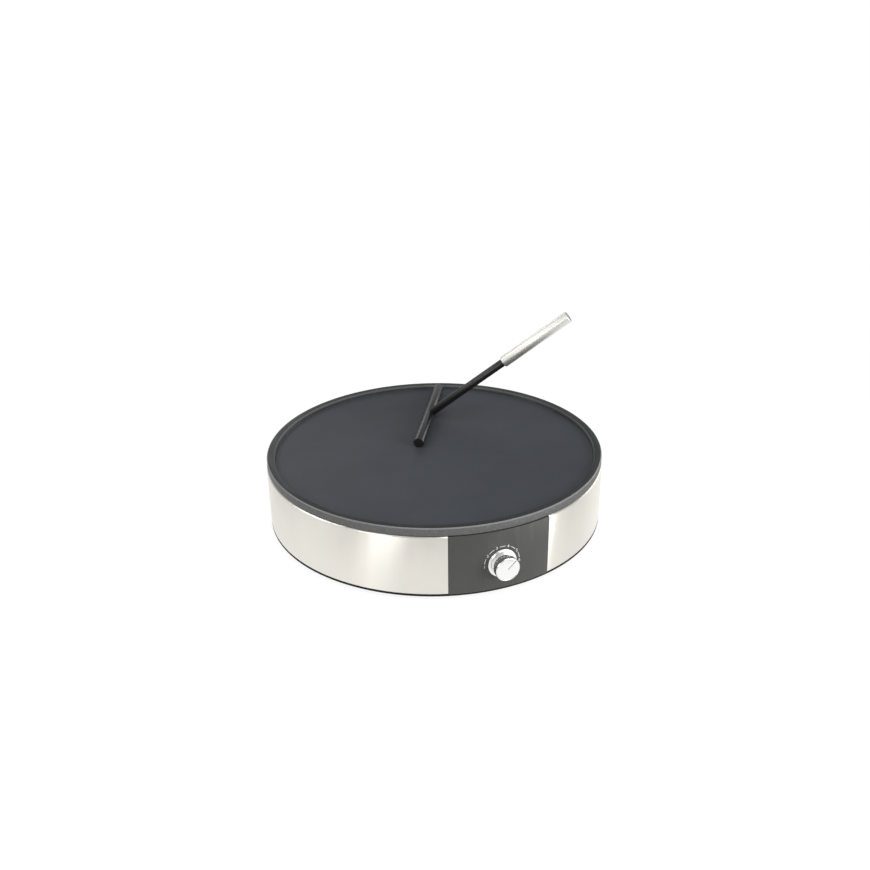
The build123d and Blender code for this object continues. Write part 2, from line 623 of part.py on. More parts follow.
def base_tray():
    ring_in = RING_WALL_R - RING_WALL_T
    ring_top = BASE_LIP_Z + RING_WALL_H
    skirt_in = BODY_R - BASE_DRAFT - BASE_SKIRT_W
    tray = revolved(
        [
            (0, FLOOR_BOTTOM_Z), (skirt_in - BASE_SKIRT_STEP, FLOOR_BOTTOM_Z), (skirt_in, BASE_BOTTOM_Z),
            (BODY_R - BASE_DRAFT, BASE_BOTTOM_Z), (BODY_R, BASE_LIP_Z - BASE_LIP_EDGE),
            (BODY_R, BASE_LIP_Z - BASE_GROOVE_H), (BODY_R - BASE_GROOVE_D, BASE_LIP_Z - BASE_GROOVE_H),
            (BODY_R - BASE_GROOVE_D, BASE_LIP_Z), (RING_WALL_R, BASE_LIP_Z), (RING_WALL_R, ring_top),
            (ring_in, ring_top), (ring_in, FLOOR_Z), (0, FLOOR_Z),
        ]
    )
    # the ring wall is open behind the control panel
    gap_x = BODY_R * sin(radians(PANEL_HALF_ANGLE)) + PANEL_HOOK_W + RING_GAP_SPARE
    tray -= block((-gap_x, gap_x), (-BODY_R, 0), (BASE_LIP_Z, ring_top + CUT))
    # stiffening ribs
    for step in range(RIB_COUNT):
        turn = Rot(0, 0, (step + 0.5) * 360 / RIB_COUNT)
        rib = block((RIB_START_R, ring_in + ROOT), (-RIB_T / 2, RIB_T / 2), (FLOOR_Z, FLOOR_Z + RIB_H))
        tray += turn * rib
    tray += ring(COLUMN_RING_R + RIB_T / 2, COLUMN_RING_R - RIB_T / 2, FLOOR_Z, FLOOR_Z + RIB_H)
    # pillars of the hotplate
    head_room = PILLAR_R - PILLAR_WALL
    for angle in COLUMN_ANGLES:
        tray += at(COLUMN_RING_R, angle) * rod(PILLAR_R, FLOOR_Z, PILLAR_TOP_Z)
        tray -= at(COLUMN_RING_R, angle) * rod(head_room, 0, SCREW_SEAT_Z)
        tray -= at(COLUMN_RING_R, angle) * rod(PLATE_SCREW[2] + LOOSE / 2, 0, PILLAR_TOP_Z + CUT)
    # cord entry, cord clamp posts
    tower_out = RING_WALL_R - RING_WALL_T / 2
    tower_in = tower_out - TOWER_D
    tray += block((-TOWER_W / 2, TOWER_W / 2), (tower_in, tower_out), (FLOOR_Z, TOWER_TOP_Z))
    tray -= BACK * rod(GROMMET_R + SLIP, tower_in - CUT, BODY_R)
    for side in (-1, 1):
        post = Pos(side * CORD_CLAMP_X, CORD_CLAMP_Y, 0)
        tray += post * rod(PANEL_BOSS_R, FLOOR_Z, CORD_Z + CORD_R)
        tray -= post * rod(SMALL_SCREW[2] + SLIP, FLOOR_Z + RIB_T, CORD_Z + CORD_R + CUT)
    # vents
    inner_vent, outer_vent = Rectangle(VENT_INNER_L, VENT_W), Rectangle(VENT_OUTER_L, VENT_W)
    vents = [at(VENT_INNER_R, 360 * i / VENT_INNER_COUNT) * inner_vent for i in range(VENT_INNER_COUNT)]
    for i in range(VENT_OUTER_COUNT):
        angle = 360 * i / VENT_OUTER_COUNT
        if abs(angle - 90) > VENT_FREE_BACK:
            vents.append(at(VENT_OUTER_R, angle) * outer_vent)
    tray -= extrude(Pos(0, 0, FLOOR_BOTTOM_Z - CUT) * Sketch(children=vents), FLOOR_T + 2 * CUT)
    # holes for the feet and for the screws round the edge
    for angle in FOOT_ANGLES:
        tray -= at(FOOT_RING_R, angle) * rod(FOOT_STEM_R + SLIP, 0, FLOOR_Z + CUT)
    panel_angles = [-90 + side * PANEL_BOSS_ANGLE for side in (-1, 1)]
    for angle in list(BAND_SCREW_ANGLES) + panel_angles:
        tray -= at(RIM_SCREW_R, angle) * rod(SMALL_SCREW[0] + LOOSE, 0, RIM_SCREW_SEAT_Z)
        tray -= at(RIM_SCREW_R, angle) * rod(SMALL_SCREW[2] + LOOSE / 2, 0, BASE_LIP_Z + CUT)
    return tray


def rubber_feet():
    foot = revolved(
        [
            (0, 0), (FOOT_R - FOOT_EDGE, 0), (FOOT_R, FOOT_EDGE), (FOOT_R, FLOOR_BOTTOM_Z),
            (FOOT_STEM_R, FLOOR_BOTTOM_Z), (FOOT_STEM_R, FLOOR_BOTTOM_Z + FOOT_STEM_H),
            (0, FLOOR_BOTTOM_Z + FOOT_STEM_H),
        ]
    )
    return group([at(FOOT_RING_R, a) * foot for a in FOOT_ANGLES])


# ---------------------------------------------------------------- thermostat and knob


def d_shaft(radius, flat, z0, z1):
    shaft = rod(radius, z0, z1)
    return shaft - block((-radius - CUT, radius + CUT), (flat, radius + CUT), (z0 - CUT, z1 + CUT))


def knob_turn():
    return Rot(0, 0, -KNOB_POINTER_ANGLE)


def bezel_ring():
    disc = ring(BEZEL_R, SHAFT_HOLE_R, BEZEL_SEAT, BODY_R + BEZEL_RAISED)
    rim = disc.edges().filter_by(GeomType.CIRCLE).group_by(Axis.Z)[-1].group_by(SortBy.RADIUS)[-1]
    return FRONT * chamfer(rim, BEZEL_EDGE)


def knob_sleeve():
    sleeve = ring(KNOB_R, KNOB_R - KNOB_SLEEVE_T, KNOB_BACK, KNOB_TOP)
    rim = sleeve.edges().group_by(Axis.Z)[-1].sort_by(SortBy.RADIUS)[-1]
    return FRONT * chamfer(rim, KNOB_EDGE)


def knob_face():
    top = KNOB_TOP - KNOB_FACE_SET
    face = rod(CORE_R, top - KNOB_FACE_T, top)
    face -= block((-POINTER_W / 2, POINTER_W / 2), (0, KNOB_R), (top - POINTER_DEPTH, top + CUT))
    return FRONT * knob_turn() * face


def knob_core():
    core_back = KNOB_BACK + KNOB_CORE_SET
    core_top = KNOB_TOP - KNOB_FACE_SET - KNOB_FACE_T
    shaft_top = core_back + SHAFT_IN_KNOB
    core = rod(CORE_R, core_back, core_top)
    # a hub and a rim joined by webs, as moulded knobs are cored out
    hub_r = 2 * SHAFT_R
    pocket = ring(CORE_R - KNOB_CORE_WALL, hub_r, core_back - CUT, core_top - KNOB_CORE_CAP_T)
    for turn in (0, 60, 120):
        pocket -= Rot(0, 0, turn) * Box(2 * CORE_R, KNOB_CORE_WALL, 3 * KNOB_TOP)
    core -= pocket
    core -= d_shaft(SHAFT_R + SLIP, SHAFT_FLAT + SLIP, core_back - CUT, shaft_top + SLIP)
    return FRONT * knob_turn() * core


def thermostat_shaft():
    shaft_top = KNOB_BACK + KNOB_CORE_SET + SHAFT_IN_KNOB
    shaft_back = THERMO_FRONT - THERMO_BORE_D + KNOB_GAP
    shaft = rod(SHAFT_R, shaft_back, BODY_R) + d_shaft(SHAFT_R, SHAFT_FLAT, BODY_R, shaft_top)
    return FRONT * knob_turn() * shaft


def thermostat_body():
    back = THERMO_FRONT - THERMO_D
    body = block((-THERMO_W / 2, THERMO_W / 2), (-THERMO_H / 2, THERMO_H / 2), (back, THERMO_FRONT))
    body = chamfer(body.edges().filter_by(Axis.Z), THERMO_EDGE)
    body += rod(COLLAR_R, THERMO_FRONT, THERMO_FRONT + COLLAR_H)
    body -= rod(SHAFT_R + SLIP, THERMO_FRONT - THERMO_BORE_D, THERMO_FRONT + COLLAR_H + CUT)
    return FRONT * body


def thermostat_bracket():
    z0, z1 = THERMO_FRONT, THERMO_FRONT + BRACKET_T
    plate = extrude(Pos(0, 0, z0) * Rectangle(BRACKET_L, BRACKET_H), BRACKET_T)
    plate -= rod(COLLAR_R + SLIP, z0 - CUT, z1 + CUT)
    for side in (-1, 1):
        plate -= Pos(side * BRACKET_SCREW_X, 0, 0) * rod(SMALL_SCREW[2] + LOOSE / 2, z0 - CUT, z1 + CUT)
    return FRONT * plate


def thermostat_screws():
    bolt = screw(SMALL_SCREW, THERMO_FRONT, SMALL_SCREW_GRIP - LOOSE)
    return group([FRONT * Pos(side * BRACKET_SCREW_X, 0, 0) * bolt for side in (-1, 1)])


def thermostat_tab_place(side):
    """Root of a spade tab on the thermostat's back, with local Z pointing away from the body."""
    return Plane(origin=(side * TAB_X, THERMO_BACK_Y, TAB_Z), x_dir=(1, 0, 0), z_dir=(0, 1, 0))


def thermostat_tabs():
    tab = block((-TAB_W / 2, TAB_W / 2), (-TAB_T / 2, TAB_T / 2), (0, TAB_L))
    return group([thermostat_tab_place(side) * tab for side in (-1, 1)])


def capillary_points():
    start = (bulb_place() * Pos(0, -BULB_L / 2, 0)).position
    corner = (bulb_place() * Pos(0, -BULB_L / 2 - CAPILLARY_RUN, 0)).position
    low_z = DIAL_Z + CAPILLARY_RISE
    side_y = THERMO_BACK_Y - THERMO_D / 2
    return [
        tuple(start), tuple(corner), (corner.X, corner.Y, low_z),
        (CAPILLARY_TURN_X, CAPILLARY_TURN_IN - BODY_R, low_z),
        (THERMO_W / 2 + CAPILLARY_RUN, side_y, low_z), (THERMO_W / 2, side_y, low_z),
    ]


def capillary_tube():
    return hex_tube(capillary_points(), CAPILLARY_R, LEAD_BEND_R)


# ---------------------------------------------------------------- mains side and wiring


def cord_grommet():
    tower_in = RING_WALL_R - RING_WALL_T / 2 - TOWER_D
    body = rod(GROMMET_R, tower_in - GROMMET_COLLAR_T, BODY_R + GROMMET_FLANGE_T)
    body += rod(GROMMET_COLLAR_R, tower_in - GROMMET_COLLAR_T, tower_in - SLIP)
    flange = rod(GROMMET_FLANGE_R, BODY_R - GROMMET_FLANGE_T, BODY_R + GROMMET_FLANGE_T)
    seat = Pos(0, 0, -CORD_Z) * rod(BODY_R + SLIP, 0, BAND_TOP_Z)
    grommet = BACK * body + (BACK * flange - Pos(0, 0, CORD_Z) * seat)
    return grommet - BACK * rod(CORD_HOLE_R, tower_in - 2 * GROMMET_COLLAR_T, BODY_R + 2 * GROMMET_FLANGE_T)


def cord_clamp():
    low = CORD_Z + CORD_R
    reach = CORD_CLAMP_X + PANEL_BOSS_R
    bar = block((-reach, reach), (-CORD_CLAMP_W / 2, CORD_CLAMP_W / 2), (low, low + CORD_CLAMP_T))
    for side in (-1, 1):
        hole = rod(SMALL_SCREW[2] + LOOSE / 2, low - CUT, low + 2 * CORD_CLAMP_T)
        bar -= Pos(side * CORD_CLAMP_X, 0, 0) * hole
    return Pos(0, CORD_CLAMP_Y, 0) * bar


def cord_clamp_screws():
    top = CORD_Z + CORD_R + CORD_CLAMP_T
    bolt = screw(SMALL_SCREW, top, 2 * SMALL_SCREW_GRIP, flip=True)
    return group([Pos(side * CORD_CLAMP_X, CORD_CLAMP_Y, 0) * bolt for side in (-1, 1)])


def terminal_block():
    top = FLOOR_Z + TERMINAL_H
    body = block(
        (-TERMINAL_W / 2, TERMINAL_W / 2), (-TERMINAL_D / 2, TERMINAL_D / 2), (FLOOR_Z, top),
    )
    for x in (-TERMINAL_PITCH / 2, TERMINAL_PITCH / 2):
        notch_x = (x - TERMINAL_NOTCH_W / 2, x + TERMINAL_NOTCH_W / 2)
        body -= block(notch_x, (-TERMINAL_D, TERMINAL_D), (top - TERMINAL_NOTCH_D, top + CUT))
    for x in (-TERMINAL_PITCH, 0, TERMINAL_PITCH):
        half = LEAD_R + LOOSE
        way_z = (TERMINAL_LEAD_Z - half, TERMINAL_LEAD_Z + half)
        body -= block((x - half, x + half), (-TERMINAL_D, TERMINAL_D), way_z)
        body -= Pos(x, 0, 0) * rod(SMALL_SCREW[2] + SLIP, TERMINAL_LEAD_Z, top + CUT)
    return Pos(0, TERMINAL_Y, 0) * body


def terminal_screws():
    top = FLOOR_Z + TERMINAL_H - TERMINAL_SCREW_SET
    pin = rod(SMALL_SCREW[2], TERMINAL_LEAD_Z + LEAD_R + LOOSE, top)
    return group([Pos(x, TERMINAL_Y, 0) * pin for x in (-TERMINAL_PITCH, 0, TERMINAL_PITCH)])


def receptacle():
    """Crimped spade receptacle on a tab. Local Z runs along the tab from its root."""
    half_w, half_t = TAB_W / 2 + SLIP, TAB_T / 2 + SLIP
    shell = block(
        (-half_w - RECEPTACLE_T, half_w + RECEPTACLE_T),
        (-half_t - RECEPTACLE_T, half_t + RECEPTACLE_T),
        (RECEPTACLE_T, TAB_L + RECEPTACLE_BACK),
    )
    return shell - block((-half_w, half_w), (-half_t, half_t), (0, TAB_L + SLIP))


def element_tab_place(loop_r):
    """Root of a spade tab under the heater's cold end, with local Z pointing down."""
    root = (cold_end_place(loop_r) * Pos(0, 0, COLD_END_Z - PIN_L)).position
    x_dir = (Rot(0, 0, LOOP_END_ANGLE) * Pos(1, 0, 0)).position
    return Plane(origin=root, x_dir=x_dir, z_dir=(0, 0, -1))


def tab_exit(place):
    return tuple(place.from_local_coords(Vector(0, 0, TAB_L + RECEPTACLE_BACK)))


def terminal_start(x):
    """A lead's first points: from inside the terminal block up over the ribs of the base."""
    y = TERMINAL_FRONT_Y
    return [
        (x, TERMINAL_Y, TERMINAL_LEAD_Z), (x, y - LEAD_STRAIGHT, TERMINAL_LEAD_Z),
        (x, y - LEAD_RISE_Y, LEAD_Z),
    ]


def live_lead():
    place = thermostat_tab_place(-1)
    end = tab_exit(place)
    x = -TERMINAL_PITCH
    points = terminal_start(x) + [
        (x, end[1] + LIVE_LEAD_DROP_Y, LEAD_Z), (end[0], end[1] + LEAD_TAB_RUN, end[2]), end,
    ]
    return hex_tube(points, LEAD_R, LEAD_BEND_R) + place * receptacle()


def neutral_lead():
    place = element_tab_place(LOOP_OUTER_R)
    end = tab_exit(place)
    x = TERMINAL_PITCH
    points = terminal_start(x) + [
        (x, COLUMN_RING_R / 2, LEAD_Z), (NEUTRAL_LEAD_X, CUTOUT_Y, LEAD_Z),
        (NEUTRAL_LEAD_X, -COLUMN_RING_R, LEAD_Z), (end[0], end[1], LEAD_Z), end,
    ]
    return hex_tube(points, LEAD_R, LEAD_BEND_R) + place * receptacle()


def heater_lead():
    place = thermostat_tab_place(1)
    start = tab_exit(place)
    points = [
        start, (start[0], start[1] + LEAD_TAB_RUN, start[2]),
        (-LEAD_RISE_X, CUTOUT_Y - HEATER_LEAD_RUN, LEAD_Z),
        (-LEAD_RISE_X, CUTOUT_Y, LEAD_Z), (-LEAD_RISE_X, CUTOUT_Y, CUTOUT_Z),
        (-CUTOUT_L / 2, CUTOUT_Y, CUTOUT_Z),
    ]
    return hex_tube(points, LEAD_R, LEAD_BEND_R) + place * receptacle()


def cutout_lead():
    place = element_tab_place(LOOP_INNER_R)
    start = tab_exit(place)
    points = [
        start, (start[0], start[1], LEAD_Z), (LEAD_RISE_X, CUTOUT_Y, LEAD_Z),
        (LEAD_RISE_X, CUTOUT_Y, CUTOUT_Z), (CUTOUT_L / 2, CUTOUT_Y, CUTOUT_Z),
    ]
    return hex_tube(points, LEAD_R, LEAD_BEND_R) + place * receptacle()


def earth_lead():
    points = [
        (0, TERMINAL_Y, TERMINAL_LEAD_Z), (0, EARTH_LEAD_Y, TERMINAL_LEAD_Z),
        (0, EARTH_LEAD_Y, RIDGE_Z - LEAD_R), (0, EARTH_Y + SMALL_SCREW[0] + LOOSE, RIDGE_Z - LEAD_R),
    ]
    lead = hex_tube(points, LEAD_R, SMALL_SCREW[0] / 2)
    eye = ring(SMALL_BOSS_R, SMALL_SCREW[2] + LOOSE / 2, RIDGE_Z - TAB_T, RIDGE_Z)
    head = rod(SMALL_SCREW[0] + LOOSE, RIDGE_Z - TAB_T - 2 * SMALL_SCREW[1], RIDGE_Z - TAB_T)
    return (lead - Pos(0, EARTH_Y, 0) * head) + Pos(0, EARTH_Y, 0) * eye


# ---------------------------------------------------------------- spreader


def spreader_frame():
    """Origin on the bar's axis at its middle, local Z up along the stick, local X along the bar."""
    along = Vector(*polar(1, BAR_HEADING), 0)
    middle = Vector(*BAR_NEAR_END, BAR_Z) + along * (BAR_L / 2)
    across = Vector(*polar(cos(radians(STICK_TILT)), BAR_HEADING - 90), sin(radians(STICK_TILT)))
    return Plane(origin=middle, x_dir=along, z_dir=across)


def spreader_bar():
    bar = Rot(0, 90, 0) * rod(BAR_R, -BAR_L / 2, BAR_L / 2)
    bar = chamfer(bar.edges().filter_by(GeomType.CIRCLE), BAR_EDGE)
    bar -= rod(STICK_R + SLIP, -SLIP, 2 * BAR_R)
    return spreader_frame() * bar


def spreader_stick():
    return spreader_frame() * rod(STICK_R, 0, HANDLE_START + FERRULE_L)


def spreader_ferrule():
    sleeve = ring(HANDLE_BORE_R - SLIP, STICK_R + SLIP, HANDLE_START, HANDLE_START + FERRULE_L)
    return spreader_frame() * sleeve


def spreader_handle():
    tube = ring(HANDLE_R, HANDLE_BORE_R, HANDLE_START, HANDLE_END)
    ends = tube.edges().filter_by(GeomType.CIRCLE).group_by(SortBy.RADIUS)[-1]
    return spreader_frame() * chamfer(ends, HANDLE_EDGE / 2)


def spreader_end_cap():
    plug = rod(HANDLE_BORE_R - SLIP, HANDLE_END - END_CAP_L, HANDLE_END)
    return spreader_frame() * plug


# ---------------------------------------------------------------- assembly

PIECES = [
    hotplate, heating_element, element_terminals, element_clamps, clamp_screws, clip_screws,
    sensor_bulb, bulb_clip, thermal_cutout, cutout_clip, earth_screw, heat_shield, spacer_sleeves,
    plate_screws, side_band, band_screws, control_panel, panel_screws, base_tray, rubber_feet,
    thermostat_body, thermostat_shaft, thermostat_bracket, thermostat_screws, thermostat_tabs,
    capillary_tube, bezel_ring, knob_sleeve, knob_face, knob_core, cord_grommet, cord_clamp,
    cord_clamp_screws, terminal_block, terminal_screws, live_lead, neutral_lead, heater_lead,
    cutout_lead, earth_lead, spreader_bar, spreader_stick, spreader_ferrule, spreader_handle,
    spreader_end_cap,
]

os.makedirs("parts", exist_ok=True)
for piece in PIECES:
    export_step(piece(), os.path.join("parts", piece.__name__ + ".step"))
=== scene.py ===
from math import cos, radians, sin, sqrt

import bmesh
import bpy
from mathutils import Matrix, Quaternion, Vector


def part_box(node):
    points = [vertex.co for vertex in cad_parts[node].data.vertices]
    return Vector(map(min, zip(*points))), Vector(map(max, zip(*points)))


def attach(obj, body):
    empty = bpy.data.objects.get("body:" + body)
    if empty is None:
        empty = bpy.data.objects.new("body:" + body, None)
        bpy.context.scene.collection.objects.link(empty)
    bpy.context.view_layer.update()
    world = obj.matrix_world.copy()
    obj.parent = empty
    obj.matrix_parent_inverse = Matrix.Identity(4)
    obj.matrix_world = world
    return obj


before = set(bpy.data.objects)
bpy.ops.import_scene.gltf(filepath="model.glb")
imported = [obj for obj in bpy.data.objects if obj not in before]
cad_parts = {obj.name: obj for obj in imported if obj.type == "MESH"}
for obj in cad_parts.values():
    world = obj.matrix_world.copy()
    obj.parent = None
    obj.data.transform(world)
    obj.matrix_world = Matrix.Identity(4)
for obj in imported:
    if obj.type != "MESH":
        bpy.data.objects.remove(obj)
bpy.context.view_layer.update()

bl_info = {
    "name": "Electric Crepe Maker",
    "version": (1, 0, 0),
    "blender": (4, 5, 0),
    "location": "3D View > Sidebar > Crepe Maker",
    "description": "Dresses the crepe maker's pieces in their finishes and sets up its studio",
    "category": "Object",
}

RIM_LAND_WIDTH = 0.0072       # flat top of the hotplate's rim
RIM_SLOPE_WIDTH = 0.0023      # inner slope of the rim
JOINT_HEIGHT = 0.0008         # size of the joint between the base and the band, painted black as shadow
JOINT_DEPTH = 0.001
POINTER_ANGLE = 45            # clockwise from 12 o'clock
POINTER_HALF_WIDTH = 0.0005
KNOB_AXIS = (0, -1, 0)
DRUM_AXIS = (0, 0, 1)

# where each mask of the hotplate is 0 and 1, as offsets from a radius
RIM_MASK = (-0.0004, 0.0003)          # from the cooking surface's
SLOPE_START_MASK = (0.0009, 0.0017)   # from the cooking surface's
SLOPE_END_MASK = (0.0008, 0.0002)     # from the slope's outer one
OUTSIDE_MASK = (-0.0018, -0.0012)     # from the plate's
SCRATCH_SETS = ((0.4, 0.0), (1.5, 3.7), (2.5, 9.1))   # direction of each set and its offset

# colours that no setting changes
COATING_SPECKLE = (0.13, 0.13, 0.135)
COATING_SCRATCH = (0.2, 0.2, 0.2)
WORN_COATING_AND_EDGE_SHEEN = (0.3, 0.3, 0.29)
PAINTED_SHEEN_BAND = (0.79, 0.785, 0.71)
PAINTED_JOINT_SHADOW = (0.004, 0.004, 0.004)
THIN_INK = (0.5, 0.5, 0.49)
POINTER_GREY = (0.2, 0.2, 0.2)
BARE_METAL = (0.85, 0.85, 0.84)
RUBBED_PLATING = (0.8, 0.8, 0.78)
HEAT_DARK = (0.12, 0.11, 0.11)
HEAT_STRAW = (0.30, 0.24, 0.17)
HEAT_BLUE = (0.13, 0.14, 0.2)
RUBBER_DUST = (0.055, 0.054, 0.052)

DIGIT_ANGLES = {"1": -94, "2": -56, "3": -19, "4": 19, "5": 56, "6": 94}
DASHES_PER_GAP = 5
DASH_SPACING = 0.105          # share of the angle between two numbers
DASH_LENGTH = 2.2             # in widths of the line
CAPITAL_SHARE = 0.7           # height of a number over the font's size
DIGIT_BOLDNESS = 1 / 40       # thickening of a number's strokes over its height

WELD_GAP = 0.000001
FLAT_ANGLE = radians(0.4)
SHARP_ANGLE = radians(28)

FLOOR_RADIUS = 14.0
FLOOR_FADE = (0.35, 0.9)      # distances between which the floor turns plain white to the camera
FLOOR_SHADOWED = 0.22         # share of the floor near the object that shadows darken
FLOOR_GLOW = 0.88             # light of its own that it shows the camera there
FLOOR_GREY = 0.75             # its grey as it lights the object
MIRROR_FADE = (0.3, 0.75)     # distances between which it dims in reflections
MIRROR_FAR = 0.5              # its strength in reflections beyond them
METAL_SKY = 0.55              # the sky's strength in reflections
LENS_SHIFT = (0.00103, 0.01126)
LAMP_AIM_HEIGHT = 0.05
# azimuth and elevation in degrees, then distance, width and height in metres
LAMPS = {
    "key": (-55, 18, 1.15, 0.36, 0.62),
    "side": (38, 12, 1.8, 0.6, 1.1),
    "right": (104, 12, 1.3, 0.9, 0.5),
    "top": (16, 60, 1.8, 1.0, 0.5),
    "left": (-108, 36, 1.2, 0.5, 0.5),
    "back": (-175, 26, 1.9, 0.8, 0.5),
}


# ---- settings


def colour_setting(name, description, default):
    return bpy.props.FloatVectorProperty(
        name=name, description=description, default=default, size=3, min=0.0, max=1.0, subtype="COLOR")


def length_setting(name, description, default, high=1.0):
    return bpy.props.FloatProperty(
        name=name, description=description, default=default, min=0.0, max=high,
        subtype="DISTANCE", unit="LENGTH", precision=5)


def share_setting(name, description, default):
    return bpy.props.FloatProperty(
        name=name, description=description, default=default, min=0.0, max=1.0, subtype="FACTOR")


def power_setting(name, description, default):
    return bpy.props.FloatProperty(
        name=name, description=description, default=default, min=0.0, subtype="POWER", unit="POWER")


class CrepeMakerColours(bpy.types.PropertyGroup):
    coating: colour_setting(
        "Coating", "Nonstick coating of the cooking surface", (0.066, 0.074, 0.086))
    coating_rim: colour_setting(
        "Coating on the rim", "Nonstick coating on the rim's flat top", (0.034, 0.036, 0.037))
    # Painted highlight: the rim's inner slope is coloured lighter than the rest of the coating, for the light
    # it catches.
    painted_slope_highlight: colour_setting(
        "Coating on the slope", "Coating on the rim's inner slope", (0.13, 0.13, 0.128))
    # Painted highlight: a lighter line on the rounded edge between the rim's top and side, for the light it
    # catches.
    painted_edge_highlight: colour_setting(
        "Rim edge", "Polished edge between the rim's top and side", (0.26, 0.26, 0.257))
    # The side's metallic grey finish is set lighter than the top, partly as painted sheen.
    coating_side_and_sheen: colour_setting(
        "Coating on the side", "Metallic grey of the hotplate's side", (0.2, 0.203, 0.2))
    steel: colour_setting("Band steel", "Brushed stainless steel of the side band", (0.87, 0.835, 0.77))
    housing: colour_setting("Housing", "Moulded plastic of the control panel", (0.05, 0.051, 0.047))
    base: colour_setting("Base", "Moulded plastic of the base", (0.042, 0.042, 0.039))
    print_white: colour_setting("Print", "White pad-printed scale of the dial", (0.85, 0.85, 0.83))
    chrome: colour_setting("Chrome", "Plated bezel and knob", (0.92, 0.92, 0.92))
    knob_face: colour_setting("Knob face", "Turned satin face of the knob", (0.97, 0.97, 0.96))
    spreader: colour_setting("Spreader", "Black plastic of the batter spreader", (0.011, 0.0105, 0.0098))
    handle: colour_setting("Handle", "Brushed steel grip of the spreader", (0.86, 0.85, 0.8))
    rubber: colour_setting("Rubber", "Feet and cord grommet", (0.022, 0.022, 0.022))


class CrepeMakerSizes(bpy.types.PropertyGroup):
    edge: length_setting("Edge rounding", "Rounding of the hotplate's edges", 0.0006, high=0.003)
    fine_edge: length_setting("Fine edges", "Rounding of the other pieces' edges", 0.00015, high=0.001)
    scale_radius: length_setting("Scale radius", "Radius of the printed scale round the knob", 0.0178)
    digit_height: length_setting("Digit height", "Height of the printed numbers", 0.0029)
    line_width: length_setting("Line width", "Width of the printed dashes", 0.00055)
    print_thickness: length_setting("Print thickness", "Thickness of the printed ink", 0.00004)


class CrepeMakerStudio(bpy.types.PropertyGroup):
    azimuth: bpy.props.FloatProperty(
        name="Azimuth", description="Direction of the camera round the object",
        default=radians(-20.6), subtype="ANGLE")
    elevation: bpy.props.FloatProperty(
        name="Elevation", description="Height of the camera above the horizon",
        default=radians(25.5), subtype="ANGLE")
    roll: bpy.props.FloatProperty(
        name="Roll", description="Tilt of the camera about its own axis",
        default=radians(-0.8), subtype="ANGLE")
    distance: length_setting("Distance", "Distance from the camera to the rim's centre", 1.062, high=10.0)
    aim_height: length_setting("Aim height", "Height of the point that the camera faces", 0.077)
    lens: bpy.props.FloatProperty(
        name="Lens", description="Focal length on a 36 mm sensor", default=41.38, min=10.0, max=300.0,
        subtype="DISTANCE_CAMERA", unit="CAMERA")
    key_power: power_setting("Key light", "Power of the tall narrow lamp at the front left", 2.7)
    side_power: power_setting("Side light", "Power of the large lamp at the front right", 22.0)
    top_power: power_setting("Top light", "Power of the high lamp in front", 6.0)
    left_power: power_setting("Left light", "Power of the close lamp on the left that edges the rim", 2.6)
    right_power: power_setting("Right light", "Power of the low wide lamp on the right", 2.3)
    back_power: power_setting("Back light", "Power of the lamp behind that glances off the coating", 2.2)
    sky: share_setting("Sky", "Strength of the even light from all round", 0.24)


# ---- building node trees


def add(tree, kind, values=None, **settings):
    """Adds a node, sets its settings, and fills its sockets with values or links them to other sockets."""
    node = tree.nodes.new(kind)
    for key, value in settings.items():
        setattr(node, key, value)
    for key, value in (values or {}).items():
        if isinstance(value, bpy.types.NodeSocket):
            tree.links.new(value, node.inputs[key])
        else:
            node.inputs[key].default_value = value
    return node


def maths(tree, operation, *terms):
    """Result of a Math node over numbers or sockets."""
    return add(tree, "ShaderNodeMath", dict(enumerate(terms)), operation=operation).outputs[0]


def stretch(tree, value, low, high, to_low=0.0, to_high=1.0):
    """Maps a range of a mask smoothly onto another range."""
    node = add(tree, "ShaderNodeMapRange", {"Value": value, "From Min": low, "From Max": high,
                                            "To Min": to_low, "To Max": to_high},
               interpolation_type="SMOOTHSTEP")
    return node.outputs["Result"]


def mix_colours(tree, share, first, second):
    """Mixes two colours. 6 and 7 are the colour inputs of a Mix node, and 2 is its colour output."""
    return add(tree, "ShaderNodeMix", {0: share, 6: first, 7: second}, data_type="RGBA").outputs[2]


def shaded(colour, factor, lift=0.0):
    """An opaque colour, made lighter or darker."""
    return (*(min(1.0, factor * x + lift) for x in colour), 1.0)


def overlay(tree, mask, share, under, over):
    """Lays one colour over another where the mask is, at most at the given share."""
    return mix_colours(tree, maths(tree, "MULTIPLY", mask, share), under, over)


def raised(tree, value, *marks):
    """A value plus each mask times that mask's own share."""
    for mask, share in marks:
        value = maths(tree, "MULTIPLY_ADD", mask, share, value)
    return value


def axis_parts(tree, place):
    """The X, Y and Z of a place, and its distance from the Z axis."""
    parts = add(tree, "ShaderNodeSeparateXYZ", {"Vector": place}).outputs
    squares = [maths(tree, "POWER", parts[axis], 2.0) for axis in ("X", "Y")]
    return parts, maths(tree, "SQRT", maths(tree, "ADD", *squares))


def new_group(name, inputs, outputs):
    """The tree of a new shader node group, the sockets it is given and the ones it fills."""
    tree = bpy.data.node_groups.new(name, "ShaderNodeTree")
    for socket, kind, value in inputs:
        made = tree.interface.new_socket(socket, in_out="INPUT", socket_type=kind)
        if value is not None:
            made.default_value = value
    for socket, kind in outputs:
        tree.interface.new_socket(socket, in_out="OUTPUT", socket_type=kind)
    start = tree.nodes.new("NodeGroupInput")
    end = tree.nodes.new("NodeGroupOutput")
    return tree, start.outputs, end.inputs


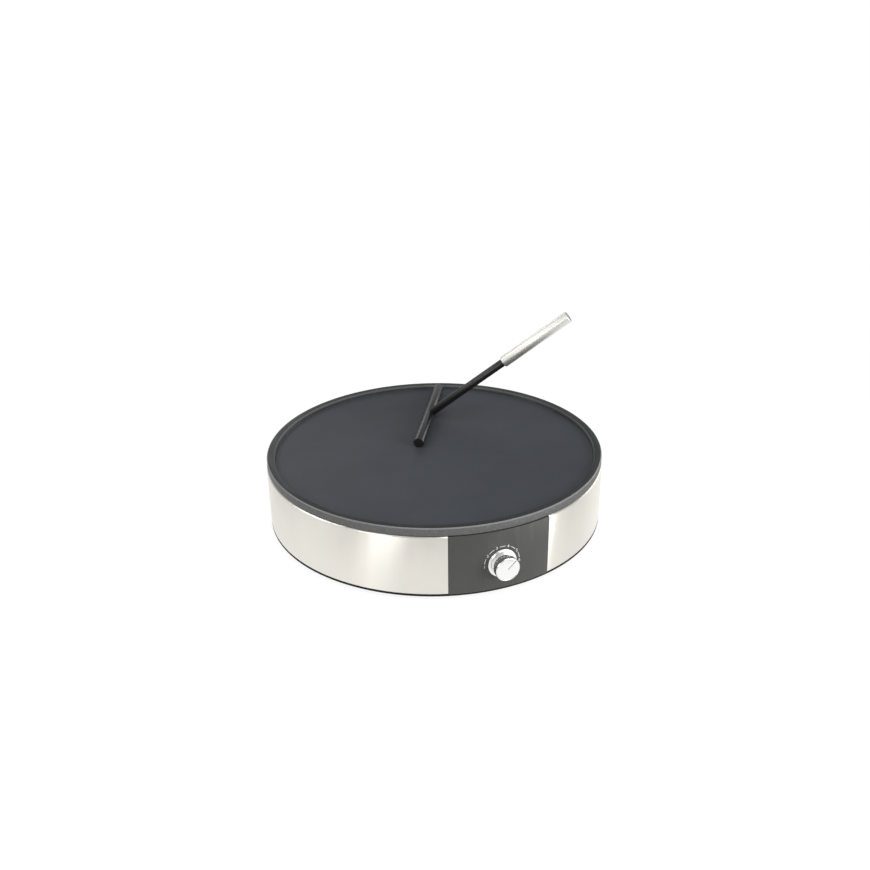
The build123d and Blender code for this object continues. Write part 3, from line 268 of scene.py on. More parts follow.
def grain_group():
    """Fine moulded or sprayed grain: a height for bump and a slow mottle."""
    tree, given, result = new_group(
        "Surface grain",
        [("Vector", "NodeSocketVector", None), ("Scale", "NodeSocketFloat", 2000.0)],
        [("Height", "NodeSocketFloat"), ("Mottle", "NodeSocketFloat")])
    fine = add(tree, "ShaderNodeTexNoise", {"Vector": given["Vector"], "Scale": given["Scale"],
                                            "Detail": 3.0, "Roughness": 0.55})
    pits = add(tree, "ShaderNodeTexVoronoi", {"Vector": given["Vector"], "Scale": given["Scale"]},
               feature="SMOOTH_F1")
    height = maths(tree, "MULTIPLY_ADD", pits.outputs["Distance"], 0.5, fine.outputs["Fac"])
    tree.links.new(height, result["Height"])
    slow = add(tree, "ShaderNodeTexNoise", {"Vector": given["Vector"], "Scale": 14.0, "Detail": 4.0,
                                            "Roughness": 0.6})
    tree.links.new(stretch(tree, slow.outputs["Fac"], 0.3, 0.7), result["Mottle"])
    return tree


def ring_brushing_group():
    """Brushing that runs round the Z axis: long thin streaks at each height."""
    tree, given, result = new_group(
        "Ring brushing",
        [("Vector", "NodeSocketVector", None), ("Fineness", "NodeSocketFloat", 3000.0),
         ("Length", "NodeSocketFloat", 4.0)],
        [("Streaks", "NodeSocketFloat"), ("Bands", "NodeSocketFloat")])
    parts, radius = axis_parts(tree, given["Vector"])
    angle = maths(tree, "ARCTAN2", parts["Y"], parts["X"])
    across = maths(tree, "MULTIPLY", maths(tree, "ADD", parts["Z"], radius), given["Fineness"])
    turned = maths(tree, "MULTIPLY", angle, given["Length"])
    place = add(tree, "ShaderNodeCombineXYZ", {"X": turned, "Y": across})
    streaks = add(tree, "ShaderNodeTexNoise", {"Vector": place.outputs[0], "Scale": 1.0, "Detail": 5.0,
                                               "Roughness": 0.7})
    tree.links.new(stretch(tree, streaks.outputs["Fac"], 0.25, 0.75), result["Streaks"])
    slow_place = add(tree, "ShaderNodeCombineXYZ", {"X": maths(tree, "SINE", angle),
                                                    "Y": maths(tree, "COSINE", angle)})
    bands = add(tree, "ShaderNodeTexNoise", {"Vector": slow_place.outputs[0], "Scale": 3.2, "Detail": 2.0})
    tree.links.new(stretch(tree, bands.outputs["Fac"], 0.3, 0.7), result["Bands"])
    return tree


def straight_brushing_group():
    """Brushing along the local Z axis, as on a tube polished lengthways."""
    tree, given, result = new_group(
        "Straight brushing",
        [("Vector", "NodeSocketVector", None), ("Fineness", "NodeSocketFloat", 5000.0)],
        [("Streaks", "NodeSocketFloat")])
    parts = add(tree, "ShaderNodeSeparateXYZ", {"Vector": given["Vector"]})
    place = add(tree, "ShaderNodeCombineXYZ", {
        "X": maths(tree, "MULTIPLY", parts.outputs["X"], given["Fineness"]),
        "Y": maths(tree, "MULTIPLY", parts.outputs["Y"], given["Fineness"]),
        "Z": maths(tree, "MULTIPLY", parts.outputs["Z"], 40.0)})
    streaks = add(tree, "ShaderNodeTexNoise", {"Vector": place.outputs[0], "Scale": 1.0, "Detail": 4.0})
    tree.links.new(stretch(tree, streaks.outputs["Fac"], 0.25, 0.75), result["Streaks"])
    return tree


def edge_wear_group():
    """A broken mask along edges, where handling has rubbed the finish."""
    tree, given, result = new_group(
        "Edge wear",
        [("Vector", "NodeSocketVector", None), ("Width", "NodeSocketFloat", 0.0008),
         ("Breakup", "NodeSocketFloat", 260.0)],
        [("Mask", "NodeSocketFloat")])
    rounded = add(tree, "ShaderNodeBevel", {"Radius": given["Width"]}, samples=4)
    plain = add(tree, "ShaderNodeNewGeometry")
    turn = add(tree, "ShaderNodeVectorMath", {0: rounded.outputs["Normal"], 1: plain.outputs["Normal"]},
               operation="DOT_PRODUCT")
    edge = stretch(tree, turn.outputs["Value"], 0.99, 0.86)
    patches = add(tree, "ShaderNodeTexNoise", {"Vector": given["Vector"], "Scale": given["Breakup"],
                                               "Detail": 4.0, "Roughness": 0.7})
    tree.links.new(maths(tree, "MULTIPLY", edge, stretch(tree, patches.outputs["Fac"], 0.42, 0.62)),
                   result["Mask"])
    return tree


def smudge_group():
    """Slow, smeared variation of gloss, as from wiping and fingers."""
    tree, given, result = new_group(
        "Smudges",
        [("Vector", "NodeSocketVector", None), ("Scale", "NodeSocketFloat", 30.0)],
        [("Mask", "NodeSocketFloat")])
    warp = add(tree, "ShaderNodeTexNoise", {"Vector": given["Vector"], "Scale": given["Scale"],
                                            "Detail": 2.0})
    moved = add(tree, "ShaderNodeVectorMath", {
        0: warp.outputs["Color"], 1: (0.03, 0.03, 0.03), 2: given["Vector"]}, operation="MULTIPLY_ADD")
    marks = add(tree, "ShaderNodeTexNoise", {"Vector": moved.outputs[0], "Scale": given["Scale"],
                                             "Detail": 6.0, "Roughness": 0.65})
    tree.links.new(stretch(tree, marks.outputs["Fac"], 0.38, 0.66), result["Mask"])
    return tree


def scratches_group():
    """Sparse hairline scratches in several directions."""
    tree, given, result = new_group(
        "Hairline scratches",
        [("Vector", "NodeSocketVector", None), ("Scale", "NodeSocketFloat", 60.0)],
        [("Mask", "NodeSocketFloat")])
    total = None
    for turn, offset in SCRATCH_SETS:
        turned = add(tree, "ShaderNodeVectorRotate", {"Vector": given["Vector"], "Angle": turn},
                     rotation_type="Z_AXIS")
        drawn = add(tree, "ShaderNodeMapping", {"Vector": turned.outputs[0], "Location": (offset, 0.0, 0.0),
                                                "Scale": (1.0, 0.06, 1.0)})
        cells = add(tree, "ShaderNodeTexNoise", {"Vector": drawn.outputs[0], "Scale": given["Scale"],
                                                 "Detail": 8.0, "Roughness": 0.8})
        line = stretch(tree, maths(tree, "ABSOLUTE", maths(tree, "SUBTRACT", cells.outputs["Fac"], 0.5)),
                       0.004, 0.0)
        total = line if total is None else maths(tree, "MAXIMUM", total, line)
    gate = add(tree, "ShaderNodeTexNoise", {"Vector": given["Vector"], "Scale": 22.0, "Detail": 2.0})
    tree.links.new(maths(tree, "MULTIPLY", total, stretch(tree, gate.outputs["Fac"], 0.52, 0.7)),
                   result["Mask"])
    return tree


GROUP_MAKERS = {
    "Surface grain": grain_group,
    "Ring brushing": ring_brushing_group,
    "Straight brushing": straight_brushing_group,
    "Edge wear": edge_wear_group,
    "Smudges": smudge_group,
    "Hairline scratches": scratches_group,
}


def effect(tree, name, vector, **values):
    """Places a shared effect in a material. It is built the first time."""
    made = bpy.data.node_groups.get(name) or GROUP_MAKERS[name]()
    return add(tree, "ShaderNodeGroup", {"Vector": vector, **values}, node_tree=made).outputs


def start_material(name, **values):
    """A new material with its Principled shader set, its tree, shader and object coordinates."""
    material = bpy.data.materials.new(name)
    material.use_nodes = True
    tree = material.node_tree
    shader = tree.nodes["Principled BSDF"]
    for key, value in values.items():
        shader.inputs[key.replace("_", " ")].default_value = value
    place = add(tree, "ShaderNodeTexCoord").outputs["Object"]
    return material, tree, shader, place


def feed(tree, shader, **sources):
    """Links sockets to the shader's inputs of those names."""
    for key, source in sources.items():
        tree.links.new(source, shader.inputs[key.replace("_", " ")])


def bump(tree, shader, height, distance, strength):
    """Gives the shader a relief. Its distance is in metres."""
    node = add(tree, "ShaderNodeBump", {"Height": height, "Distance": distance, "Strength": strength})
    feed(tree, shader, Normal=node.outputs["Normal"])


def turned_to(tree, place, centre, direction):
    """Coordinates whose origin is the centre and whose Z runs along the direction."""
    to_z = Vector(direction).normalized().rotation_difference(Vector((0, 0, 1))).to_euler()
    moved = add(tree, "ShaderNodeMapping", {"Vector": place, "Location": [-x for x in centre]})
    return add(tree, "ShaderNodeMapping", {"Vector": moved.outputs[0], "Rotation": to_z}).outputs[0]


def tangent_about(tree, place, centre, axis):
    """Direction that runs round an axis at each point, for marks left by turning or brushing."""
    arm = add(tree, "ShaderNodeVectorMath", {0: place, 1: centre}, operation="SUBTRACT")
    around = add(tree, "ShaderNodeVectorMath", {0: axis, 1: arm.outputs[0]}, operation="CROSS_PRODUCT")
    return around.outputs[0]


def opaque(colour):
    return (*colour, 1.0)


# ---- finishes


def coating_material(colours):
    """Sprayed nonstick coating: matt where food cooks, glossier on the rim, metallic on the side. The rim's
    slope and outer edge carry painted highlights, and the side's lighter grey is partly painted sheen.
    """
    material, tree, shader, place = start_material("Nonstick coating", Specular_IOR_Level=0.09)
    plate_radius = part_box("hotplate")[1].x
    slope_end = plate_radius - RIM_LAND_WIDTH
    cook_radius = slope_end - RIM_SLOPE_WIDTH
    _, radius = axis_parts(tree, place)
    normal = add(tree, "ShaderNodeNewGeometry").outputs["Normal"]
    upward = add(tree, "ShaderNodeSeparateXYZ", {"Vector": normal}).outputs["Z"]
    on_rim = stretch(tree, radius, *(cook_radius + x for x in RIM_MASK))
    tilted = stretch(tree, upward, 0.97, 0.88)
    within = maths(tree, "MULTIPLY", stretch(tree, radius, *(cook_radius + x for x in SLOPE_START_MASK)),
                   stretch(tree, radius, *(slope_end + x for x in SLOPE_END_MASK)))
    slope_highlight_mask = maths(tree, "MULTIPLY", within, tilted)
    outside = stretch(tree, radius, *(plate_radius + x for x in OUTSIDE_MASK))
    edge_highlight_mask = maths(tree, "MULTIPLY", outside, tilted)
    on_side = maths(tree, "MULTIPLY", outside, stretch(tree, upward, 0.55, 0.15))
    grain = effect(tree, "Surface grain", place, Scale=1500.0)
    coarse = effect(tree, "Surface grain", place, Scale=700.0)
    smudges = effect(tree, "Smudges", place, Scale=9.0)
    scratches = effect(tree, "Hairline scratches", place, Scale=16.0)
    worn = effect(tree, "Edge wear", place, Width=0.0009, Breakup=180.0)
    uneven = overlay(tree, grain["Mottle"], 0.35, opaque(colours.coating), shaded(colours.coating, 0.72))
    flat = mix_colours(tree, on_rim, uneven, opaque(colours.coating_rim))
    # Painted highlight on the rim's inner slope.
    with_slope_highlight = mix_colours(tree, slope_highlight_mask, flat, opaque(colours.painted_slope_highlight))
    speckle = stretch(tree, grain["Height"], 0.55, 1.0)
    lighter = overlay(tree, speckle, 0.2, with_slope_highlight, opaque(COATING_SPECKLE))
    scuffed = overlay(tree, scratches["Mask"], 0.1, lighter, opaque(COATING_SCRATCH))
    # Rubbed coating along the edges. It is broad and little broken, so it is partly a painted highlight too.
    rubbed = overlay(tree, worn["Mask"], 0.3, scuffed, opaque(WORN_COATING_AND_EDGE_SHEEN))
    # Painted highlight along the rim's outer edge.
    with_edge_highlight = mix_colours(tree, edge_highlight_mask, rubbed, opaque(colours.painted_edge_highlight))
    # The side's metallic grey, partly painted sheen.
    side = overlay(tree, stretch(tree, coarse["Height"], 0.45, 0.75), 0.7,
                   opaque(colours.coating_side_and_sheen), shaded(colours.coating_side_and_sheen, 0.62))
    feed(tree, shader, Base_Color=mix_colours(tree, on_side, with_edge_highlight, side),
         Metallic=maths(tree, "MULTIPLY", on_side, 0.75),
         Roughness=raised(tree, 0.44, (smudges["Mask"], 0.06), (on_rim, -0.13), (on_side, 0.24)))
    bump(tree, shader, grain["Height"], 0.00006, 0.6)
    return material


def band_material(colours):
    """Stainless steel brushed round the drum, with broad soft bands of painted sheen."""
    material, tree, shader, place = start_material(
        "Brushed stainless band", Metallic=1.0, Anisotropic=0.88, Anisotropic_Rotation=0.25)
    brushing = effect(tree, "Ring brushing", place, Fineness=5200.0, Length=5.0)
    smudges = effect(tree, "Smudges", place, Scale=12.0)
    streaked = overlay(tree, brushing["Streaks"], 0.7, opaque(colours.steel), shaded(colours.steel, 0.94))
    # Painted sheen: broad bands round the drum turn darker and greener.
    sheen_banded = overlay(tree, brushing["Bands"], 0.35, streaked, opaque(PAINTED_SHEEN_BAND))
    feed(tree, shader, Base_Color=sheen_banded,
         Roughness=raised(tree, 0.29, (brushing["Streaks"], 0.08), (smudges["Mask"], 0.05)),
         Tangent=tangent_about(tree, place, (0, 0, 0), DRUM_AXIS))
    bump(tree, shader, brushing["Streaks"], 0.000012, 0.5)
    return material


def moulded_material(name, colour, roughness=0.55, scale=1900.0, depth=0.00005, specular=0.4):
    """Moulded plastic with a fine spark-eroded grain and rubbed edges."""
    material, tree, shader, place = start_material(name, Specular_IOR_Level=specular)
    grain = effect(tree, "Surface grain", place, Scale=scale)
    smudges = effect(tree, "Smudges", place, Scale=22.0)
    worn = effect(tree, "Edge wear", place, Width=0.0006, Breakup=500.0)
    mottled = overlay(tree, grain["Mottle"], 0.3, opaque(colour), shaded(colour, 1.25, 0.004))
    rubbed = overlay(tree, worn["Mask"], 0.18, mottled, shaded(colour, 2.0, 0.02))
    feed(tree, shader, Base_Color=rubbed, Roughness=raised(tree, roughness - 0.03, (smudges["Mask"], 0.08)))
    bump(tree, shader, grain["Height"], depth, 0.7)
    return material


def base_material(colours):
    """Plastic of the base, with a painted shadow in black inside the narrow joint that runs under the band
    and the panel.
    """
    material = moulded_material("Base plastic", colours.base, 0.6, specular=0.3)
    tree = material.node_tree
    shader = tree.nodes["Principled BSDF"]
    parts, radius = axis_parts(tree, tree.nodes["Texture Coordinate"].outputs["Object"])
    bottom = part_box("side_band")[0].z - JOINT_HEIGHT
    inner = drum_radius() - JOINT_DEPTH
    # Painted shadow: black inside the joint under the band and the panel.
    joint = maths(tree, "MULTIPLY", stretch(tree, parts["Z"], bottom - 0.0001, bottom),
                  stretch(tree, radius, inner - 0.0002, inner))
    plain = shader.inputs["Base Color"].links[0].from_socket
    feed(tree, shader, Base_Color=mix_colours(tree, joint, plain, opaque(PAINTED_JOINT_SHADOW)))
    return material


def print_material(colours):
    """Pad-printed ink, slightly thin in places."""
    material, tree, shader, place = start_material("Dial print", Roughness=0.5, Specular_IOR_Level=0.35)
    grain = effect(tree, "Surface grain", place, Scale=3500.0)
    ink = overlay(tree, grain["Height"], 0.2, opaque(colours.print_white), opaque(THIN_INK))
    feed(tree, shader, Base_Color=ink)
    return material


def plated_material(name, colour, roughness=0.07):
    """Bright plating with faint smears."""
    material, tree, shader, place = start_material(name, Metallic=1.0)
    smudges = effect(tree, "Smudges", place, Scale=90.0)
    dulled = overlay(tree, smudges["Mask"], 0.25, opaque(colour), shaded(colour, 0.86))
    feed(tree, shader, Base_Color=dulled, Roughness=raised(tree, roughness, (smudges["Mask"], 0.07)))
    return material


def turned_material(name, colour, centre, direction, roughness=0.16):
    """Metal turned about an axis: fine concentric marks."""
    material, tree, shader, place = start_material(
        name, Metallic=1.0, Anisotropic=0.35, Anisotropic_Rotation=0.25)
    own = turned_to(tree, place, centre, direction)
    brushing = effect(tree, "Ring brushing", own, Fineness=9000.0, Length=2.5)
    smudges = effect(tree, "Smudges", place, Scale=70.0)
    turned = overlay(tree, brushing["Streaks"], 0.5, opaque(colour), shaded(colour, 0.92))
    feed(tree, shader, Base_Color=turned,
         Roughness=raised(tree, roughness - 0.05, (brushing["Streaks"], 0.1), (smudges["Mask"], 0.05)),
         Tangent=tangent_about(tree, place, centre, direction))
    bump(tree, shader, brushing["Streaks"], 0.000006, 0.5)
    return material, tree, shader, place


def knob_face_material(colour, centre):
    """Turned knob face whose engraved pointer, from the centre outwards, is coloured darker grey."""
    material, tree, shader, place = turned_material("Turned knob face", colour, centre, KNOB_AXIS)
    arm = add(tree, "ShaderNodeVectorMath", {0: place, 1: centre}, operation="SUBTRACT")
    own = add(tree, "ShaderNodeVectorRotate", {"Vector": arm.outputs[0], "Angle": radians(POINTER_ANGLE)},
              rotation_type="Y_AXIS", invert=True)
    parts = add(tree, "ShaderNodeSeparateXYZ", {"Vector": own.outputs[0]}).outputs
    across = stretch(tree, maths(tree, "ABSOLUTE", parts["X"]),
                     POINTER_HALF_WIDTH + 0.0001, POINTER_HALF_WIDTH - 0.00005)
    on_pointer = maths(tree, "MULTIPLY", across, stretch(tree, parts["Z"], 0.0, 0.0003))
    plain = shader.inputs["Base Color"].links[0].from_socket
    feed(tree, shader, Base_Color=overlay(tree, on_pointer, 0.6, plain, opaque(POINTER_GREY)))
    return material


def tube_material(name, colour, centre, direction):
    """Steel tube polished lengthways, with handling marks."""
    material, tree, shader, place = start_material(name, Metallic=1.0)
    own = turned_to(tree, place, centre, direction)
    brushing = effect(tree, "Straight brushing", own, Fineness=900.0)
    smudges = effect(tree, "Smudges", own, Scale=45.0)
    scratches = effect(tree, "Hairline scratches", own, Scale=120.0)
    drawn = overlay(tree, brushing["Streaks"], 0.6, opaque(colour), shaded(colour, 0.9))
    scuffed = overlay(tree, scratches["Mask"], 0.1, drawn, opaque(BARE_METAL))
    feed(tree, shader, Base_Color=scuffed,
         Roughness=raised(tree, 0.43, (brushing["Streaks"], 0.05), (smudges["Mask"], 0.04)))
    bump(tree, shader, brushing["Streaks"], 0.000001, 0.3)
    return material


def formed_metal_material(name, colour, roughness=0.4):
    """Bare or plated metal: faint crystals, smudges and rubbed edges."""
    material, tree, shader, place = start_material(name, Metallic=1.0)
    spangle = add(tree, "ShaderNodeTexVoronoi", {"Vector": place, "Scale": 170.0}, feature="F1")
    smudges = effect(tree, "Smudges", place, Scale=40.0)
    worn = effect(tree, "Edge wear", place, Width=0.0004, Breakup=700.0)
    cells = add(tree, "ShaderNodeSeparateColor", {"Color": spangle.outputs["Color"]}).outputs["Red"]
    crystals = overlay(tree, cells, 0.5, opaque(colour), shaded(colour, 0.8))
    rubbed = overlay(tree, worn["Mask"], 0.4, crystals, opaque(RUBBED_PLATING))
    feed(tree, shader, Base_Color=rubbed,
         Roughness=raised(tree, roughness - 0.06, (cells, 0.12), (smudges["Mask"], 0.08)))
    return material


def heater_material():
    """Oxidised steel sheath of the heater, tinted blue and straw in patches by its heat."""
    material, tree, shader, place = start_material("Heater sheath", Metallic=0.9)
    grain = effect(tree, "Surface grain", place, Scale=900.0)
    slow = add(tree, "ShaderNodeTexNoise", {"Vector": place, "Scale": 26.0, "Detail": 4.0})
    tint = add(tree, "ShaderNodeValToRGB", {"Fac": slow.outputs["Fac"]})
    dark, straw = tint.color_ramp.elements
    dark.position, dark.color = 0.3, opaque(HEAT_DARK)
    straw.position, straw.color = 0.72, opaque(HEAT_STRAW)
    tint.color_ramp.elements.new(0.5).color = opaque(HEAT_BLUE)
    feed(tree, shader, Base_Color=tint.outputs["Color"], Roughness=raised(tree, 0.42, (grain["Mottle"], 0.2)))
    bump(tree, shader, grain["Height"], 0.00005, 0.5)
    return material


def rubber_material(colours):
    """Matt rubber, paler with dust in patches."""
    material, tree, shader, place = start_material("Black rubber", Specular_IOR_Level=0.25)
    grain = effect(tree, "Surface grain", place, Scale=1200.0)
    dusty = overlay(tree, grain["Mottle"], 0.5, opaque(colours.rubber), opaque(RUBBER_DUST))
    feed(tree, shader, Base_Color=dusty, Roughness=raised(tree, 0.72, (grain["Mottle"], 0.15)))
    bump(tree, shader, grain["Height"], 0.00008, 0.6)
    return material


def diagonal_waves(tree, place, scale, distortion=0.0):
    """Soft stripes across the diagonal of the place's axes."""
    return add(tree, "ShaderNodeTexWave", {"Vector": place, "Scale": scale, "Distortion": distortion},
               bands_direction="DIAGONAL").outputs["Fac"]


def sleeving_material(name, colour, second=None, braided=False):
    """Wire covering. A second colour gives stripes, and a braided one looks like woven glass fibre."""
    material, tree, shader, place = start_material(name, Roughness=0.5, Specular_IOR_Level=0.4)
    grain = effect(tree, "Surface grain", place, Scale=1500.0)
    base = overlay(tree, grain["Mottle"], 0.4, opaque(colour), shaded(colour, 0.75))
    height = grain["Height"]
    if second:
        stripes = stretch(tree, diagonal_waves(tree, place, 60.0, 0.4), 0.45, 0.55)
        base = mix_colours(tree, stripes, base, opaque(second))
    if braided:
        turned = add(tree, "ShaderNodeVectorRotate", {"Vector": place, "Angle": radians(90)},
                     rotation_type="Z_AXIS")
        height = maths(tree, "MAXIMUM", diagonal_waves(tree, place, 300.0),
                       diagonal_waves(tree, turned.outputs[0], 300.0))
        # Painted shade: the weave is darker in its hollows.
        base = mix_colours(tree, 0.7, base, mix_colours(tree, height, shaded(colour, 0.6), opaque(colour)))
    feed(tree, shader, Base_Color=base)
    bump(tree, shader, height, 0.00005, 0.5)
    return material


# ---- dressing the CAD pieces


def piece(name):
    """The CAD piece of that name. A missing one stops the script."""
    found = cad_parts.get(name)
    if found is None:
        raise RuntimeError(f"the packed model has no piece named {name}")
    return found


def wear(name, material):
    """Gives a CAD piece its finish."""
    mesh = piece(name).data
    mesh.materials.clear()
    mesh.materials.append(material)
    mesh.polygons.foreach_set("material_index", [0] * len(mesh.polygons))


def round_edges(name, width, segments=2):
    """Joins a CAD piece's facets and rounds its sharp edges, with smooth shading between them."""
    target = piece(name)
    target.data.polygons.foreach_set("use_smooth", [True] * len(target.data.polygons))
    weld = target.modifiers.new("Join facets", "WELD")
    weld.merge_threshold = WELD_GAP
    merge = target.modifiers.new("Flat faces", "DECIMATE")
    merge.decimate_type = "DISSOLVE"
    merge.angle_limit = FLAT_ANGLE
    rounding = target.modifiers.new("Rounded edges", "BEVEL")
    rounding.limit_method = "ANGLE"
    rounding.angle_limit = SHARP_ANGLE
    rounding.width = width
    rounding.segments = segments
    rounding.use_clamp_overlap = True
    rounding.harden_normals = True


def dress(context, finishes, segments=2):
    """Gives CAD pieces their finishes and rounds their edges finely."""
    for name, material in finishes.items():
        wear(name, material)
        round_edges(name, context.scene.crepe_sizes.fine_edge, segments)


def box_centre(name):
    low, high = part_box(name)
    return (low + high) / 2


def knob_centre():
    """Middle of the knob's front. The knob's axis crosses the drum's."""
    return 0.0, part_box("knob_sleeve")[0].y, box_centre("knob_sleeve").z


def drum_radius():
    """Outer radius of the band, which the control panel's face shares."""
    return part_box("side_band")[1].y


class CREPE_OT_hotplate(bpy.types.Operator):
    """Coats the hotplate and rounds its cast edges"""
    bl_idname = "crepe.hotplate"
    bl_label = "Hotplate"

    def execute(self, context):
        wear("hotplate", coating_material(context.scene.crepe_colours))
        round_edges("hotplate", context.scene.crepe_sizes.edge, 3)
        return {"FINISHED"}


class CREPE_OT_band(bpy.types.Operator):
    """Brushes the steel side band"""
    bl_idname = "crepe.band"
    bl_label = "Side band"

    def execute(self, context):
        dress(context, {"side_band": band_material(context.scene.crepe_colours)})
        return {"FINISHED"}


class CREPE_OT_housing(bpy.types.Operator):
    """Gives the control panel and the base their moulded grain"""
    bl_idname = "crepe.housing"
    bl_label = "Panel and base"

    def execute(self, context):
        colours = context.scene.crepe_colours
        finishes = {"control_panel": moulded_material("Panel plastic", colours.housing, 0.52, specular=0.6),
                    "base_tray": base_material(colours)}
        dress(context, finishes)
        return {"FINISHED"}


class CREPE_OT_dial(bpy.types.Operator):
    """Prints the dial's numbers and dashes on the control panel"""
    bl_idname = "crepe.dial"
    bl_label = "Dial print"

    def execute(self, context):
        sizes = context.scene.crepe_sizes
        scale = bmesh.new()
        for digit, angle in DIGIT_ANGLES.items():
            add_digit(scale, digit, sizes.digit_height, on_dial(sizes.scale_radius, angle))
        marked = sorted(DIGIT_ANGLES.values())
        middle = (DASHES_PER_GAP - 1) / 2
        for first, last in zip(marked, marked[1:]):
            for dash in range(DASHES_PER_GAP):
                share = 0.5 + (dash - middle) * DASH_SPACING
                add_dash(scale, sizes, first + (last - first) * share)
        lay_on_drum(scale, sizes.print_thickness)
        mesh = bpy.data.meshes.new("dial_print")
        scale.to_mesh(mesh)
        scale.free()
        mesh.materials.append(print_material(context.scene.crepe_colours))
        made = bpy.data.objects.new("dial_print", mesh)
        context.scene.collection.objects.link(made)
        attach(made, "base")
        return {"FINISHED"}


def on_dial(radius, angle):
    """Place on the dial's face at an angle clockwise from 12 o'clock: x to the right, y up."""
    return radius * sin(radians(angle)), radius * cos(radians(angle))


def add_digit(target, digit, height, place):
    """Adds a flat number, upright and centred on its place."""
    words = bpy.data.curves.new("digit", "FONT")
    words.body = digit
    words.size = height / CAPITAL_SHARE
    words.align_x, words.align_y = "CENTER", "CENTER"
    words.resolution_u = 4
    words.offset = height * DIGIT_BOLDNESS
    holder = bpy.data.objects.new("digit", words)
    bpy.context.scene.collection.objects.link(holder)
    bpy.context.view_layer.update()
    flat = bpy.data.meshes.new_from_object(holder.evaluated_get(bpy.context.evaluated_depsgraph_get()))
    flat.transform(Matrix.Translation((place[0], place[1], 0.0)))
    target.from_mesh(flat)
    bpy.data.objects.remove(holder)
    bpy.data.curves.remove(words)
    bpy.data.meshes.remove(flat)


def add_dash(target, sizes, angle):
    """Adds a short dash along the scale."""
    length = DASH_LENGTH * sizes.line_width
    made = bmesh.ops.create_grid(target, x_segments=1, y_segments=1, size=0.5)["verts"]
    bmesh.ops.scale(target, vec=(length, sizes.line_width, 1.0), verts=made)
    turn = Matrix.Rotation(radians(-angle), 3, "Z")
    bmesh.ops.rotate(target, cent=(0, 0, 0), matrix=turn, verts=made)
    x, y = on_dial(sizes.scale_radius, angle)
    bmesh.ops.translate(target, vec=(x, y, 0.0), verts=made)


def lay_on_drum(target, thickness):
    """Stands a flat print up on the drum's front, follows the drum's curve and gives it thickness."""
    bmesh.ops.remove_doubles(target, verts=target.verts, dist=WELD_GAP)
    bmesh.ops.recalc_face_normals(target, faces=target.faces)
    top = bmesh.ops.extrude_face_region(target, geom=list(target.faces))
    outer = {v for v in top["geom"] if isinstance(v, bmesh.types.BMVert)}
    front_radius = drum_radius()
    dial_height = knob_centre()[2]
    for vert in target.verts:
        x, y, _ = vert.co
        radius = front_radius + (thickness if vert in outer else -thickness)
        vert.co = (x, -sqrt(radius * radius - x * x), y + dial_height)
    bmesh.ops.recalc_face_normals(target, faces=target.faces)


class CREPE_OT_knob(bpy.types.Operator):
    """Plates the knob and bezel, and turns the knob's face"""
    bl_idname = "crepe.knob"
    bl_label = "Knob and bezel"

    def execute(self, context):
        colours = context.scene.crepe_colours
        centre = knob_centre()
        finishes = {
            "bezel_ring": plated_material("Satin plated bezel", colours.chrome, 0.3),
            "knob_sleeve": plated_material("Plated knob", colours.chrome),
            "knob_face": knob_face_material(colours.knob_face, centre),
            "knob_core": moulded_material("Knob plastic", (0.03, 0.03, 0.03)),
            "thermostat_shaft": turned_material("Turned shaft", (0.5, 0.5, 0.49), centre, KNOB_AXIS, 0.35)[0],
        }
        dress(context, finishes)
        return {"FINISHED"}


class CREPE_OT_spreader(bpy.types.Operator):
    """Finishes the batter spreader and its steel grip"""
    bl_idname = "crepe.spreader"
    bl_label = "Spreader"

    def execute(self, context):
        colours = context.scene.crepe_colours
        black = moulded_material("Spreader plastic", colours.spreader, 0.28, 1400.0, 0.00002, 0.42)
        grip = tube_material("Brushed grip", colours.handle, box_centre("spreader_handle"), stick_direction())
        finishes = {"spreader_bar": black, "spreader_stick": black, "spreader_ferrule": black,
                    "spreader_end_cap": moulded_material("Cap plastic", (0.24, 0.235, 0.22), 0.4),
                    "spreader_handle": grip}
        dress(context, finishes)
        return {"FINISHED"}


def stick_direction():
    """Direction of the spreader's stick, from the pieces at its two ends."""
    return (box_centre("spreader_end_cap") - box_centre("spreader_ferrule")).normalized()


class CREPE_OT_feet(bpy.types.Operator):
    """Finishes the rubber feet and the cord grommet"""
    bl_idname = "crepe.feet"
    bl_label = "Rubber pieces"

    def execute(self, context):
        rubber = rubber_material(context.scene.crepe_colours)
        dress(context, {"rubber_feet": rubber, "cord_grommet": rubber})
        return {"FINISHED"}


class CREPE_OT_heater(bpy.types.Operator):
    """Finishes the heater, its clamps, the sensor and the heat shield"""
    bl_idname = "crepe.heater"
    bl_label = "Heater and sensor"

    def execute(self, context):
        sheet = formed_metal_material("Zinc-plated sheet", (0.52, 0.53, 0.54))
        finishes = {
            "heating_element": heater_material(),
            "element_clamps": sheet, "bulb_clip": sheet, "cutout_clip": sheet,
            "heat_shield": formed_metal_material("Aluminised shield", (0.6, 0.6, 0.6), 0.34),
            "spacer_sleeves": sheet, "thermostat_bracket": sheet,
            "sensor_bulb": formed_metal_material("Drawn copper", (0.6, 0.32, 0.2), 0.34),
            "thermal_cutout": formed_metal_material("Cutout case", (0.68, 0.68, 0.68), 0.36),
        }
        dress(context, finishes, 1)
        wear("capillary_tube", finishes["sensor_bulb"])
        return {"FINISHED"}


class CREPE_OT_fasteners(bpy.types.Operator):
    """Finishes the screws and the brass tabs"""
    bl_idname = "crepe.fasteners"
    bl_label = "Screws and tabs"

    def execute(self, context):
        zinc = formed_metal_material("Zinc-plated screws", (0.6, 0.59, 0.55), 0.3)
        brass = formed_metal_material("Plated brass", (0.68, 0.55, 0.3), 0.34)
        screws = ("clamp_screws", "clip_screws", "earth_screw", "plate_screws", "band_screws",
                  "panel_screws", "thermostat_screws", "cord_clamp_screws")
        dress(context, dict.fromkeys(screws, zinc))
        dress(context, dict.fromkeys(("element_terminals", "thermostat_tabs", "terminal_screws"), brass), 1)
        return {"FINISHED"}


